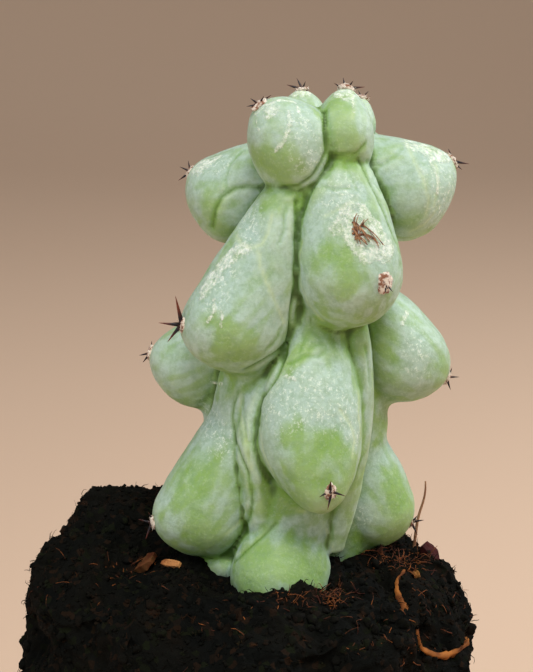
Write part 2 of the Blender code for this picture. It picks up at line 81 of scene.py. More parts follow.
# The studio. A pale, warm sheet of paper lies under the pot and sweeps up behind it. One broad soft light hangs
# high at the right, a weaker one fills the left, and a third lights the right side of the plant from behind.
FLOOR_HALF = 3.0
FLOOR_FRONT = -2.0
SWEEP_START = 1.1
SWEEP_RADIUS = 0.9
PAPER_TOP = 2.6
PAPER_COLOURS = ("D8B89C", "DDC0A6")
LIGHTS = (
    ("key", (0.14, -0.44, 1.04), 0.50, 8.0, "FFFCF8"),
    ("fill", (-0.75, -0.55, 0.45), 0.60, 2.6, "EEF4FF"),
    ("rim", (0.62, 0.24, 0.55), 0.35, 3.4, "F4F9FF"),
)
ROOM_COLOUR = "ECF1F6"
ROOM_STRENGTH = 0.34


def linear(hex_colour):
    """An sRGB hex colour as linear red, green and blue, with an alpha of 1."""
    shares = [int(hex_colour[place:place + 2], 16) / 255 for place in (0, 2, 4)]
    return [s / 12.92 if s <= 0.04045 else ((s + 0.055) / 1.055) ** 2.4 for s in shares] + [1.0]


def new_finish(name):
    material = bpy.data.materials.new(name)
    material.use_nodes = True
    return material


def set_node(material, node, settings):
    """Sets a node's sockets and properties, and links each socket that is given another node's output."""
    for name, value in settings.items():
        if not isinstance(name, int) and name not in node.inputs:
            setattr(node, name, value)
        elif isinstance(value, bpy.types.NodeSocket):
            material.node_tree.links.new(value, node.inputs[name])
        else:
            node.inputs[name].default_value = linear(value) if isinstance(value, str) else value


def add_node(material, kind, settings, out=0):
    """Adds a node to the material, sets it up and returns one of its outputs."""
    node = material.node_tree.nodes.new("ShaderNode" + kind)
    set_node(material, node, settings)
    return node.outputs[out]


def finished(obj, material, settings):
    """Sets the material's own shader and gives the piece this material alone."""
    set_node(material, material.node_tree.nodes["Principled BSDF"], settings)
    obj.data.materials.clear()
    obj.data.materials.append(material)


def add_paper():
    """A strip of paper from the front, along the floor and up in a quarter round."""
    bpy.ops.object.select_all(action="DESELECT")
    bpy.ops.mesh.primitive_grid_add(x_subdivisions=2, y_subdivisions=60, size=1)
    sheet = bpy.context.object
    sheet.name = "paper_sweep"
    flat = SWEEP_START - FLOOR_FRONT
    bend = SWEEP_RADIUS * math.pi / 2
    rise = PAPER_TOP - SWEEP_RADIUS
    for vert in sheet.data.vertices:
        along = (vert.co.y + 0.5) * (flat + bend + rise)
        turn = min(max((along - flat) / SWEEP_RADIUS, 0.0), math.pi / 2)
        vert.co.x *= 2 * FLOOR_HALF
        vert.co.y = FLOOR_FRONT + min(along, flat) + SWEEP_RADIUS * math.sin(turn)
        vert.co.z = SWEEP_RADIUS * (1 - math.cos(turn)) + max(0.0, along - flat - bend)
    sheet.data.shade_smooth()
    paper = new_finish("matt_background_paper")
    place = add_node(paper, "TexCoord", {}, "Object")
    cloud = add_node(paper, "TexNoise", {"Vector": place, "Scale": 1.4, "Detail": 2.0})
    tone = add_node(paper, "Mix", {"data_type": "RGBA", 0: cloud, 6: PAPER_COLOURS[0], 7: PAPER_COLOURS[1]}, 2)
    finished(sheet, paper, {"Base Color": tone, "Roughness": 0.9})


def add_lights():
    for name, place, size, power, colour in LIGHTS:
        data = bpy.data.lights.new(name, "AREA")
        data.size = size
        data.energy = power
        data.color = linear(colour)[:3]
        lamp = bpy.data.objects.new(name, data)
        lamp.location = place
        lamp.rotation_euler = (AIM - lamp.location).to_track_quat("-Z", "Y").to_euler()
        bpy.context.scene.collection.objects.link(lamp)
    world = bpy.data.worlds.new("room")
    world.use_nodes = True
    glow = world.node_tree.nodes["Background"]
    glow.inputs["Color"].default_value = linear(ROOM_COLOUR)
    glow.inputs["Strength"].default_value = ROOM_STRENGTH
    bpy.context.scene.world = world
    bpy.context.scene.view_settings.view_transform = "Standard"


add_paper()
add_lights()


# The pot. Thrown by hand from red earthenware clay and fired unglazed, with a folded rim band and a drain hole.
# The potter's fingers leave shallow rings round the wall, and salts from the water bloom pale below the rim.
POT_HEIGHT = 64
POT_INNER_RADIUS = 46.4
POT_RIM_RADIUS = 50.8
POT_RIM_DEPTH = 15
POT_BODY_RADIUS = 48.6
POT_BASE_RADIUS = 36
POT_WALL = 4.2
POT_FLOOR = 5
POT_DRAIN_RADIUS = 5
POT_SIDES = 180
POT_STEP = 0.8


def rounded_outline(corners):
    """The outline through corners of (radius, height, rounding), with each corner eased by its rounding."""
    outline = []
    for number, (radius, height, rounding) in enumerate(corners):
        corner = Vector((radius, height))
        before = Vector(corners[number - 1][:2]) - corner
        after = Vector(corners[(number + 1) % len(corners)][:2]) - corner
        for step in range(6):
            share = step / 5
            pull = before.normalized() * (1 - share) ** 2 + after.normalized() * share**2
            outline.append(corner + pull * rounding)
    return outline


def stepped_outline(outline, step):
    """The closed outline with points at most this far apart."""
    points = []
    for here, after in zip(outline, outline[1:] + outline[:1]):
        count = max(1, math.ceil((after - here).length / step))
        points += [here.lerp(after, number / count) for number in range(count)]
    return points


def turned_solid(name, outline, sides, ring=True):
    """An outline of (radius, height) in millimetres turned about the Z axis: a ring, or a solid from axis to axis."""
    mesh = bpy.data.meshes.new(name)
    verts = [(radius * MM, 0, height * MM) for radius, height in outline]
    edges = [(number, (number + 1) % len(verts)) for number in range(len(verts) if ring else len(verts) - 1)]
    mesh.from_pydata(verts, edges, [])
    obj = bpy.data.objects.new(name, mesh)
    bpy.context.scene.collection.objects.link(obj)
    bpy.ops.object.select_all(action="DESELECT")
    obj.select_set(True)
    bpy.context.view_layer.objects.active = obj
    turn = obj.modifiers.new("Turn", "SCREW")
    turn.steps = sides
    turn.render_steps = sides
    turn.use_merge_vertices = True
    turn.merge_threshold = 0.00001
    bpy.ops.object.modifier_apply(modifier=turn.name)
    return obj


def face_outward(obj):
    shape = bmesh.new()
    shape.from_mesh(obj.data)
    bmesh.ops.recalc_face_normals(shape, faces=shape.faces)
    shape.to_mesh(obj.data)
    shape.free()


def throw_pot():
    step = POT_HEIGHT - POT_RIM_DEPTH
    inner_base = POT_BASE_RADIUS - POT_WALL
    corners = (
        (POT_RIM_RADIUS, POT_HEIGHT, 1.6),
        (POT_RIM_RADIUS - 0.6, step, 1.3),
        (POT_BODY_RADIUS - 1.2, step - 0.6, 0.5),
        (POT_BASE_RADIUS, 0, 1.4),
        (POT_DRAIN_RADIUS, 0, 0.7),
        (POT_DRAIN_RADIUS, POT_FLOOR, 0.7),
        (inner_base, POT_FLOOR, 2.0),
        (POT_INNER_RADIUS, POT_HEIGHT, 1.6),
    )
    outline = []
    for point in stepped_outline(rounded_outline(corners), POT_STEP):
        outer = point.x > POT_BASE_RADIUS - 2 and point.y > 2
        ring = 0.16 * math.sin(point.y * 1.9 + 1.5 * math.sin(point.y * 0.31)) + 0.10 * math.sin(point.y * 4.3)
        outline.append((point.x - (abs(ring) if outer else 0.0), point.y))
    pot = turned_solid("clay_pot", outline, POT_SIDES)
    for vert in pot.data.vertices:
        swell = 1 + 0.0025 * noise.noise(vert.co / (22 * MM))
        vert.co.x *= min(swell, 1.0)
        vert.co.y *= min(swell, 1.0)
    face_outward(pot)
    pot.data.shade_smooth()
    return pot


def fired_earthenware(pot):
    """Unglazed red clay: dry and dull, mottled by the kiln, dusted with grit, with a chalky salt line."""
    clay = new_finish("fired_earthenware")
    place = add_node(clay, "TexCoord", {}, "Object")
    cloud = add_node(clay, "TexNoise", {"Vector": place, "Scale": 1 / (24 * MM), "Detail": 4.0})
    grit = add_node(clay, "TexNoise", {"Vector": place, "Scale": 1 / (0.9 * MM), "Detail": 3.0})
    speck = add_node(clay, "TexVoronoi", {"Vector": place, "Scale": 1 / (2.2 * MM)})
    height = add_node(clay, "SeparateXYZ", {0: place}, 2)
    spread = add_node(clay, "Mapping", {"Vector": place, "Scale": (1, 1, 0.35)})
    edge = add_node(clay, "TexNoise", {"Vector": spread, "Scale": 1 / (11 * MM), "Detail": 5.0})
    wander = add_node(clay, "Math", {"operation": "MULTIPLY_ADD", 0: edge, 1: -0.030, 2: height})
    salt = add_node(clay, "MapRange", {"interpolation_type": "SMOOTHSTEP", 0: wander, 1: 0.016, 2: 0.044})
    patches = add_node(clay, "MapRange", {"interpolation_type": "SMOOTHSTEP", 0: edge, 1: 0.46, 2: 0.68})
    salt = add_node(clay, "Math", {"operation": "MULTIPLY", 0: salt, 1: patches})
    salt = add_node(clay, "Math", {"operation": "MULTIPLY", 0: salt, 1: 0.5})
    mottle = add_node(clay, "MapRange", {0: cloud, 1: 0.35, 2: 0.68})
    colour = add_node(clay, "Mix", {"data_type": "RGBA", 0: mottle, 6: "A9583A", 7: "C27A55"}, 2)
    fleck = add_node(clay, "MapRange", {0: speck, 1: 0.16, 2: 0.10, 4: 0.5})
    colour = add_node(clay, "Mix", {"data_type": "RGBA", 0: fleck, 6: colour, 7: "7C3A26"}, 2)
    colour = add_node(clay, "Mix", {"data_type": "RGBA", 0: salt, 6: colour, 7: "E0CDB9"}, 2)
    rough = add_node(clay, "MapRange", {0: grit, 3: 0.80, 4: 0.95})
    dents = add_node(clay, "Bump", {"Strength": 0.5, "Distance": 0.3 * MM, "Height": cloud})
    grain = add_node(clay, "Bump", {"Strength": 0.45, "Distance": 0.12 * MM, "Height": grit, "Normal": dents})
    finished(pot, clay, {"Base Color": colour, "Roughness": rough, "Specular IOR Level": 0.3, "Normal": grain})


pot = throw_pot()
fired_earthenware(pot)
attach(pot, "root")
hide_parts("pot")


# The peat. A pot-bound block of black peat and coir, taken over from a smaller pot and left standing proud of the
# rim. It is crumbly and round-shouldered, higher at the back left, with lumps that shade each other to near black.
PEAT_RADIUS = 45.6
CLEARANCE = 0.3
PEAT_SEGMENTS = 440
PEAT_RINGS = 200
PEAT_SHARE_ABOVE = 0.93
PEAT_SEED = 19
PEAT_PROFILE = (
    (0.0, 0.0),
    (0.25, 0.0),
    (0.48, 0.0),
    (0.57, 0.2),
    (0.66, 0.6),
    (0.74, 1.4),
    (0.81, 2.9),
    (0.88, 5.4),
    (0.935, 9.0),
    (0.968, 13.2),
    (0.986, 17.8),
    (0.995, 22.8),
    (1.0, 28.0),
    (1.0, 33.7),
)


def peat_outline(share):
    """The point of the peat's outline this share of the way from the top's middle to the bottom's middle."""
    above = [Vector((part * PEAT_RADIUS, PEAT_TOP / MM - depth)) for part, depth in PEAT_PROFILE]
    inner_base = POT_BASE_RADIUS - POT_WALL
    below = [above[-1], Vector((inner_base - 0.6, POT_FLOOR + 2.6)), Vector((inner_base - 3, POT_FLOOR + CLEARANCE))]
    below.append(Vector((0, POT_FLOOR + CLEARANCE)))
    if share < PEAT_SHARE_ABOVE:
        line, share = above, share / PEAT_SHARE_ABOVE
    else:
        line, share = below, (share - PEAT_SHARE_ABOVE) / (1 - PEAT_SHARE_ABOVE)
    lengths = [(after - here).length for here, after in zip(line, line[1:])]
    left = share * sum(lengths)
    for here, after, length in zip(line, line[1:], lengths):
        if left <= length:
            return here.lerp(after, left / length)
        left -= length
    return line[-1]


def crumble(place, size):
    """The height, from 0 to 1, of rounded crumbs of this size in millimetres."""
    near = noise.voronoi(place / size)[0][0]
    return math.sqrt(max(0.0, 1 - (near / 0.9) ** 2))


def settled(place):
    """Where a point of the plain turned block lies on the uneven peat, and how free it is of the pot."""
    rim = POT_HEIGHT + CLEARANCE
    depth = PEAT_TOP / MM - place.z
    share = math.hypot(place.x, place.y) / PEAT_RADIUS
    lump = 7.5 * math.exp(-((place.x + 27) ** 2 + (place.y - 19) ** 2) / (2 * 12.0**2))
    lump += 4.0 * math.exp(-((place.x + 40) ** 2 + (place.y + 2) ** 2) / (2 * 10.0**2))
    squareness = 0.5 * max(0.0, -place.x / PEAT_RADIUS)
    place = place.copy()
    place.z += squareness * depth * max(0.0, 1 - depth / 20) + lump * max(0.0, 1 - depth / 30)
    rough = noise.noise_vector(place / 12.0) * 3.6 + noise.noise_vector(place / 5.5) * 2.6
    hold = min(1.0, max(0.0, place.z - rim) / 8)
    place.z += rough.z * hold
    place.x += rough.x * hold * share
    place.y += rough.y * hold * share
    return place, hold


def heap_peat():
    """The block turned from its outline, then settled and crumbled. The seed makes its lumps the same each run."""
    noise.seed_set(PEAT_SEED)
    outline = [peat_outline(number / PEAT_RINGS) for number in range(PEAT_RINGS + 1)]
    block = turned_solid("peat_block", outline, PEAT_SEGMENTS, ring=False)
    face_outward(block)
    holds = []
    for vert in block.data.vertices:
        place, hold = settled(vert.co / MM)
        vert.co = place * MM
        holds.append(hold)
    block.data.update()
    outward = [vert.normal.copy() for vert in block.data.vertices]
    for vert, normal, hold in zip(block.data.vertices, outward, holds):
        place = vert.co / MM
        lift = 0.9 * crumble(place, 3.6) + 0.55 * crumble(place + Vector((9, 4, 2)), 1.5)
        lift += 0.5 * noise.noise(place / 0.9) - 1.2
        vert.co += normal * lift * hold * MM
    block.data.shade_smooth()
    return block


def black_peat(obj, name, colours):
    """Damp black peat: matt, soaking up the light, with brown and greenish crumbs."""
    peat = new_finish(name)
    place = add_node(peat, "TexCoord", {}, "Object")
    patch = add_node(peat, "TexNoise", {"Vector": place, "Scale": 1 / (9 * MM), "Detail": 3.0})
    crumb = add_node(peat, "TexVoronoi", {"Vector": place, "Scale": 1 / (1.3 * MM)}, "Color")
    pick = add_node(peat, "SeparateXYZ", {0: crumb}, 0)
    other = add_node(peat, "SeparateXYZ", {0: crumb}, 1)
    grain = add_node(peat, "TexNoise", {"Vector": place, "Scale": 1 / (0.6 * MM), "Detail": 4.0})
    browner = add_node(peat, "MapRange", {0: patch, 1: 0.40, 2: 0.66})
    colour = add_node(peat, "Mix", {"data_type": "RGBA", 0: browner, 6: colours[0], 7: colours[1]}, 2)
    brown = add_node(peat, "MapRange", {0: pick, 1: 0.80, 2: 0.98})
    colour = add_node(peat, "Mix", {"data_type": "RGBA", 0: brown, 6: colour, 7: colours[2]}, 2)
    moss = add_node(peat, "MapRange", {0: other, 1: 0.86, 2: 1.0})
    colour = add_node(peat, "Mix", {"data_type": "RGBA", 0: moss, 6: colour, 7: colours[3]}, 2)
    lumps = add_node(peat, "Bump", {"Strength": 0.6, "Distance": 0.5 * MM, "Height": pick})
    grit = add_node(peat, "Bump", {"Strength": 0.8, "Distance": 0.3 * MM, "Height": grain, "Normal": lumps})
    rough = add_node(peat, "MapRange", {0: other, 3: 0.78, 4: 1.0})
    finished(obj, peat, {"Base Color": colour, "Roughness": rough, "Specular IOR Level": 0.06, "Normal": grit})


peat = heap_peat()
black_peat(peat, "black_peat", ("080907", "0E0D09", "1E140C", "14170C"))
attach(peat, "root")
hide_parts("soil_ball")


# The cactus skin. Six ribs of swollen tubercles grew pressed together into one firm, waxy, blue-green body.
# A tubercle is a ball drawn up to its neck on the stem and out to its areole. Sizes here are in millimetres, and a
# place is (azimuth, reach, height): azimuth 0 faces the lens, reach is from the leaning axis, height from the peat.
STEM_HEIGHT = 95
STEM_FOOT_X = 7
STEM_LEAN_X = 8
RIDGE_HEIGHTS = (-6, 12, 45, 72, 86)
RIDGE_REACHES = (8, 11, 10, 7, 3)
RIDGE_RADII = (9, 9.5, 8, 6.5, 4.5)
RIB_AZIMUTHS = {
    "front": (-2, 4, 14, 20, 20),
    "front_left": (-64, -62, -48, -40, -40),
    "left": (-112, -108, -103, -106, -110),
    "back_left": (-168, -164, -158, -158, -156),
    "back_right": (146, 146, 142, 140, 138),
    "right": (90, 90, 90, 92, 94),
    "crown": None,
}
# Each tubercle: rib, neck, belly, belly radius, areole.
TUBERCLES = {
    "front_high": ("front", (22, 8, 81), (28.8, 15, 61), 10.5, (33, 25.0, 60.9)),
    "front_middle": ("front", (11, 11, 46), (9, 16.4, 29.5), 10.3, (14, 28.7, 22.0)),
    "front_low": ("front", (-2, 10, 8), (-2, 15.0, 0.0), 9.9, (-2, 25.4, -2.5)),
    "front_left_high": ("front_left", (-22, 8, 79), (-48.5, 17.2, 51.3), 10.4, (-58.6, 26.8, 51.1)),
    "front_left_low": ("front_left", (-58, 10, 34), (-64, 17.8, 11.5), 9.6, (-69.5, 28.6, 9.6)),
    "left_high": ("left", (-105, 5, 80), (-110, 16.6, 72.2), 9.2, (-110, 26.7, 77.1)),
    "left_middle": ("left", (-103, 9, 50), (-103, 21, 38.0), 8.6, (-101, 31.0, 40.5)),
    "left_low": ("left", (-112, 10, 20), (-118, 18, 4), 8.5, (-120, 27.0, 2.5)),
    "back_left_high": ("back_left", (-158, 6, 84), (-160, 16, 62), 9.6, (-162, 26.0, 60.0)),
    "back_left_low": ("back_left", (-160, 9, 46), (-164, 18, 24), 10.0, (-166, 28.0, 20.0)),
    "back_right_high": ("back_right", (142, 6, 84), (144, 15.5, 75), 8.8, (146, 25.0, 78.0)),
    "back_right_middle": ("back_right", (142, 9, 62), (144, 18, 42), 9.6, (146, 29.0, 41.0)),
    "back_right_low": ("back_right", (146, 10, 24), (148, 17.5, 8), 9.2, (150, 27.0, 7.5)),
    "right_high": ("right", (92, 5, 80), (94, 17.0, 74.4), 9.8, (96, 26.7, 80.4)),
    "right_middle": ("right", (90, 9, 54), (90, 19.5, 41.5), 9.6, (88, 30.0, 37.0)),
    "right_low": ("right", (90, 10, 26), (90, 17.4, 9.8), 8.8, (86, 25.9, 6.6)),
    "crown_left": ("crown", (-22, 8, 78), (-31, 10.4, 85.3), 8.4, (-50, 16.3, 93.0)),
    "crown_right": ("crown", (33, 9, 82), (24, 8.6, 87.0), 6.3, (54, 5.0, 95.0)),
    "crown_back_left": ("crown", (-156, 4, 84), (-156, 8.7, 88.4), 4.6, (-155, 9.9, 93.6)),
    "crown_back_right": ("crown", (137, 4, 82), (137, 9.5, 86.0), 4.6, (136, 11.5, 92.0)),
}
# Two tubercles end below their areole. Necks narrow faster or slower than the rest.
TIPS = {"front_middle": (13, 27.5, 17.3), "front_left_high": (-60, 27.4, 48.6)}
NECK_POWERS = {"front_left_high": 2.4, "front_middle": 1.0, "right_low": 1.0}
NECK_POWER = 1.4
TIP_POWER = 3.2
NECK_OVERLAP = 0.4
# A full flank of the upper left lobe, and narrow folds between the ribs: lines of (azimuth, reach, height, radius).
FLANKS = {
    "front_left": (
        (-25, 9.7, 80, 4.2), (-30, 12.5, 71, 6.2), (-33, 14.7, 61, 7.5), (-35, 15.0, 52, 7.3), (-38, 13.8, 46, 5.0),
    ),
}
FOLDS = (
    ((-22, 12.0, 42, 3.0), (-32, 15.6, 34, 3.9), (-28, 16.2, 25, 4.1), (-20, 15.6, 14, 3.8), (-15, 13.5, 5, 3.0)),
    ((42, 13.0, 53, 2.8), (43, 16.2, 42, 3.5), (44, 16.8, 29, 3.8), (41, 15.9, 16, 3.5), (37, 14.5, 5, 3.0)),
    ((-76, 17.0, -1, 3.6), (-60, 18.5, 0, 3.8), (-44, 16.0, 1, 3.6), (-30, 12.0, 1, 3.0)),
)
RIB_VOXEL = 0.8
SKIN_VOXEL = 0.55


def stem_point(azimuth, reach, height):
    turn = math.radians(azimuth)
    x = STEM_FOOT_X + STEM_LEAN_X * height / STEM_HEIGHT + reach * math.sin(turn)
    return Vector((x * MM, -reach * math.cos(turn) * MM, PEAT_TOP + height * MM))


def grow_tubercle(name):
    """A ball drawn out to both ends, broadly to its neck and more sharply to its tip."""
    _, neck, belly, radius, areole = TUBERCLES[name]
    centre = stem_point(*belly)
    tip = TIPS.get(name, areole)
    ends = []
    for place, spare, power in ((neck, NECK_OVERLAP, NECK_POWERS.get(name, NECK_POWER)), (tip, 1.0, TIP_POWER)):
        reach = stem_point(*place) - centre
        ends.append((reach.normalized(), max(0.0, reach.length - spare * radius * MM), power))
    bpy.ops.mesh.primitive_uv_sphere_add(segments=56, ring_count=36, radius=radius * MM, location=(0, 0, 0))
    ball = bpy.context.object
    for vert in ball.data.vertices:
        outward = vert.co.normalized()
        for direction, length, power in ends:
            vert.co += direction * length * max(0.0, outward.dot(direction)) ** power
        vert.co += centre
    return ball


def grow_strands(name, strands, sides, smooth):
    """Closed tubes along strands of points of (place in metres, radius in millimetres), as one mesh."""
    curve = bpy.data.curves.new(name, "CURVE")
    curve.dimensions = "3D"
    curve.bevel_depth = MM
    curve.bevel_resolution = sides
    curve.resolution_u = 8 if smooth else 1
    curve.use_fill_caps = True
    for strand in strands:
        line = curve.splines.new("NURBS" if smooth else "POLY")
        line.points.add(len(strand) - 1)
        if smooth:
            line.use_endpoint_u = True
            line.order_u = min(4, len(strand))
        for point, (place, radius) in zip(line.points, strand):
            point.co = (*place, 1.0)
            point.radius = radius
    tube = bpy.data.objects.new(name, curve)
    bpy.context.scene.collection.objects.link(tube)
    bpy.ops.object.select_all(action="DESELECT")
    tube.select_set(True)
    bpy.context.view_layer.objects.active = tube
    bpy.ops.object.convert(target="MESH")
    tube = bpy.context.object
    bpy.ops.object.mode_set(mode="EDIT")
    bpy.ops.mesh.select_all(action="SELECT")
    bpy.ops.mesh.remove_doubles(threshold=0.001 * MM)
    bpy.ops.object.mode_set(mode="OBJECT")
    return tube


def joined(objects, name):
    bpy.ops.object.select_all(action="DESELECT")
    for obj in objects:
        obj.select_set(True)
    bpy.context.view_layer.objects.active = objects[0]
    if len(objects) > 1:
        bpy.ops.object.join()
    bpy.context.object.name = name
    return bpy.context.object


def grown_together(obj, voxel, rounds):
    """Overlapping closed shapes made one skin, then eased."""
    bpy.context.view_layer.objects.active = obj
    remesh = obj.modifiers.new("Grow together", "REMESH")
    remesh.mode = "VOXEL"
    remesh.voxel_size = voxel * MM
    bpy.ops.object.modifier_apply(modifier=remesh.name)
    ease = obj.modifiers.new("Ease", "SMOOTH")
    ease.factor = 0.5
    ease.iterations = rounds
    bpy.ops.object.modifier_apply(modifier=ease.name)
    return obj


def grow_skin():
    bpy.ops.object.select_all(action="DESELECT")
    grown = []
    for rib, azimuths in RIB_AZIMUTHS.items():
        balls = [grow_tubercle(name) for name, tubercle in TUBERCLES.items() if tubercle[0] == rib]
        if azimuths is None:
            grown += balls
            continue
        line = zip(azimuths, RIDGE_REACHES, RIDGE_HEIGHTS, RIDGE_RADII)
        balls.append(grow_strands("ridge", [[(stem_point(*place), radius) for *place, radius in line]], 6, True))
        if rib in FLANKS:
            flank = [(stem_point(*place), radius) for *place, radius in FLANKS[rib]]
            balls.append(grow_strands("flank", [flank], 6, True))
        grown.append(grown_together(joined(balls, rib), RIB_VOXEL, 14))
    for fold in FOLDS:
        grown.append(grow_strands("fold", [[(stem_point(*place), radius) for *place, radius in fold]], 4, True))
    bpy.ops.mesh.primitive_uv_sphere_add(segments=48, ring_count=32, radius=15 * MM, location=stem_point(0, 0, -3))
    grown.append(bpy.context.object)
    return grown_together(joined(grown, "cactus_skin"), SKIN_VOXEL, 2)


class Surface:
    """A mesh held as arrays, so that its points can be shaped together."""

    def __init__(self, obj):
        self.obj = obj
        mesh = obj.data
        self.count = len(mesh.vertices)
        self.places = np.empty(self.count * 3)
        mesh.vertices.foreach_get("co", self.places)
        self.places = self.places.reshape(-1, 3)
        edges = np.empty(len(mesh.edges) * 2, dtype=np.int64)
        mesh.edges.foreach_get("vertices", edges)
        edges = edges.reshape(-1, 2)
        self.here = np.concatenate([edges[:, 0], edges[:, 1]])
        self.there = np.concatenate([edges[:, 1], edges[:, 0]])
        self.degree = np.bincount(self.here, minlength=self.count)

    def normals(self):
        self.store()
        found = np.empty(self.count * 3)
        self.obj.data.vertices.foreach_get("normal", found)
        return found.reshape(-1, 3)

    def eased(self, values, rounds):
        """The values, each brought halfway to the mean of its neighbours, this many times."""
        values = np.array(values, dtype=float)
        columns = values.reshape(self.count, -1)
        for _ in range(rounds):
            for column in range(columns.shape[1]):
                total = np.bincount(self.here, weights=columns[self.there, column], minlength=self.count)
                columns[:, column] = 0.5 * columns[:, column] + 0.5 * total / self.degree
        return columns.reshape(values.shape)

    def store(self):
        self.obj.data.vertices.foreach_set("co", self.places.ravel())
        self.obj.data.update()

    def keep(self, name, values):
        """Writes one number a point, from 0 to 1, as an attribute that the material reads."""
        layer = self.obj.data.attributes.new(name, "FLOAT", "POINT")
        layer.data.foreach_set("value", np.clip(values, 0.0, 1.0))


def on_skin(tree, pixels):
    """The places in the photograph's pixels brought onto the skin, one for each pixel or so along the line."""
    found = []
    for (x0, y0), (x1, y1) in zip(pixels, pixels[1:]):
        steps = max(1, int(math.hypot(x1 - x0, y1 - y0) / 1.5))
        for step in range(steps + 1):
            share = step / steps
            place = tree.ray_cast(LENS, view_ray(x0 + (x1 - x0) * share, y0 + (y1 - y0) * share))[0]
            if place is not None:
                found.append(place)
    return np.array(found)


def within(tree, corners):
    """The patch with these corners in the photograph's pixels brought onto the skin, as a grid of places."""
    found = []
    lows = [min(corner[axis] for corner in corners) for axis in (0, 1)]
    highs = [max(corner[axis] for corner in corners) for axis in (0, 1)]
    for across in np.arange(lows[0], highs[0], PATCH_STEP):
        for down in np.arange(lows[1], highs[1], PATCH_STEP):
            crossings = 0
            for (x0, y0), (x1, y1) in zip(corners, corners[1:] + corners[:1]):
                if (y0 > down) != (y1 > down) and across < x0 + (down - y0) * (x1 - x0) / (y1 - y0):
                    crossings += 1
            if crossings % 2:
                place = tree.ray_cast(LENS, view_ray(across, down))[0]
                if place is not None:
                    found.append(place)
    return np.array(found)


def distance_to(surface, line):
    """How far each point of the surface lies from a set of places, in millimetres."""
    best = np.full(surface.count, 1.0)
    middle = (line.min(axis=0) + line.max(axis=0)) / 2
    near = (np.abs(surface.places - middle) < np.ptp(line, axis=0) / 2 + 8 * MM).all(axis=1)
    chosen = surface.places[near]
    nearest = np.full(len(chosen), 1.0)
    for place in line:
        nearest = np.minimum(nearest, ((chosen - place) ** 2).sum(axis=1))
    best[near] = np.sqrt(nearest)
    return best / MM


def brushed(surface, tree, strokes, fade=1.0):
    """The strongest of many brush strokes, each (radius in mm, pixels...), from 1 on its line to 0 past its edge."""
    strength = np.zeros(surface.count)
    for radius, *pixels in strokes:
        line = on_skin(tree, pixels)
        if len(line):
            away = distance_to(surface, line)
            strength = np.maximum(strength, np.clip((1 + fade / 2) - away / radius, 0, fade) / fade)
    return strength


# Lines in the skin, each as (width in mm, depth in mm, pixels...). Furrows part the ribs and folds, and wrinkles are
# fine creases where a lobe bends. Growth lines, as (width in mm, pixels...), are pale seams of stretched skin.
FURROWS = (
    (0.5, 0.7, (297, 200), (296, 245), (296, 285), (291, 320), (285, 355), (275, 378), (262, 398), (256, 420), (254, 445),
     (259, 465), (268, 480)),
    (0.4, 0.5, (238, 392), (233, 405), (232, 420), (236, 440), (241, 455), (247, 470), (250, 485)),
    (0.5, 0.4, (250, 485), (252, 500), (249, 517), (243, 533), (232, 549), (222, 556)),
    (0.5, 0.4, (276, 523), (264, 535), (247, 549), (234, 562)),
    (0.5, 0.4, (358, 158), (366, 175), (376, 195), (386, 217), (396, 242)),
    (0.5, 0.5, (333, 157), (325, 170), (316, 184), (307, 200), (300, 217), (297, 240)),
    (0.5, 0.5, (325, 110), (325, 130), (328, 150), (322, 162), (312, 176), (298, 186), (282, 188)),
    (0.4, 0.4, (326, 154), (340, 155), (356, 154), (366, 142)),
    (0.5, 0.5, (284, 345), (274, 354), (262, 362), (246, 371)),
    (0.5, 0.5, (262, 188), (247, 186), (235, 188), (222, 196), (215, 210), (212, 228)),
)
WRINKLES = (
    (0.4, 0.35, (288, 204), (284, 216), (284, 230), (279, 243)),
    (0.35, 0.3, (333, 162), (331, 172), (325, 180)),
    (0.35, 0.25, (344, 163), (352, 178), (357, 190)),
    (0.35, 0.22, (322, 186), (334, 190), (350, 188)),
    (0.4, 0.3, (285, 194), (300, 190), (314, 183)),
    (0.35, 0.3, (243, 150), (230, 164), (225, 178), (228, 190)),
    (0.4, 0.3, (366, 160), (380, 166), (391, 160), (403, 148)),
    (0.35, 0.25, (377, 168), (372, 180), (380, 192)),
    (0.35, 0.3, (309, 350), (313, 344), (325, 344), (327, 350), (318, 357), (305, 355), (296, 361), (287, 364)),
    (0.35, 0.25, (300, 322), (304, 338), (300, 352)),
    (0.35, 0.25, (310, 318), (312, 332), (322, 340)),
    (0.35, 0.3, (318, 326), (335, 333), (352, 330)),
    (0.35, 0.25, (200, 400), (196, 412), (204, 404), (208, 394)),
    (0.35, 0.3, (365, 345), (368, 360), (370, 385)),
    (0.35, 0.2, (243, 395), (243, 415), (247, 440), (250, 462)),
    (0.35, 0.25, (266, 350), (276, 340), (283, 326)),
    (0.35, 0.2, (352, 520), (360, 535), (362, 548)),
    (0.35, 0.2, (322, 512), (330, 525), (333, 540)),
)
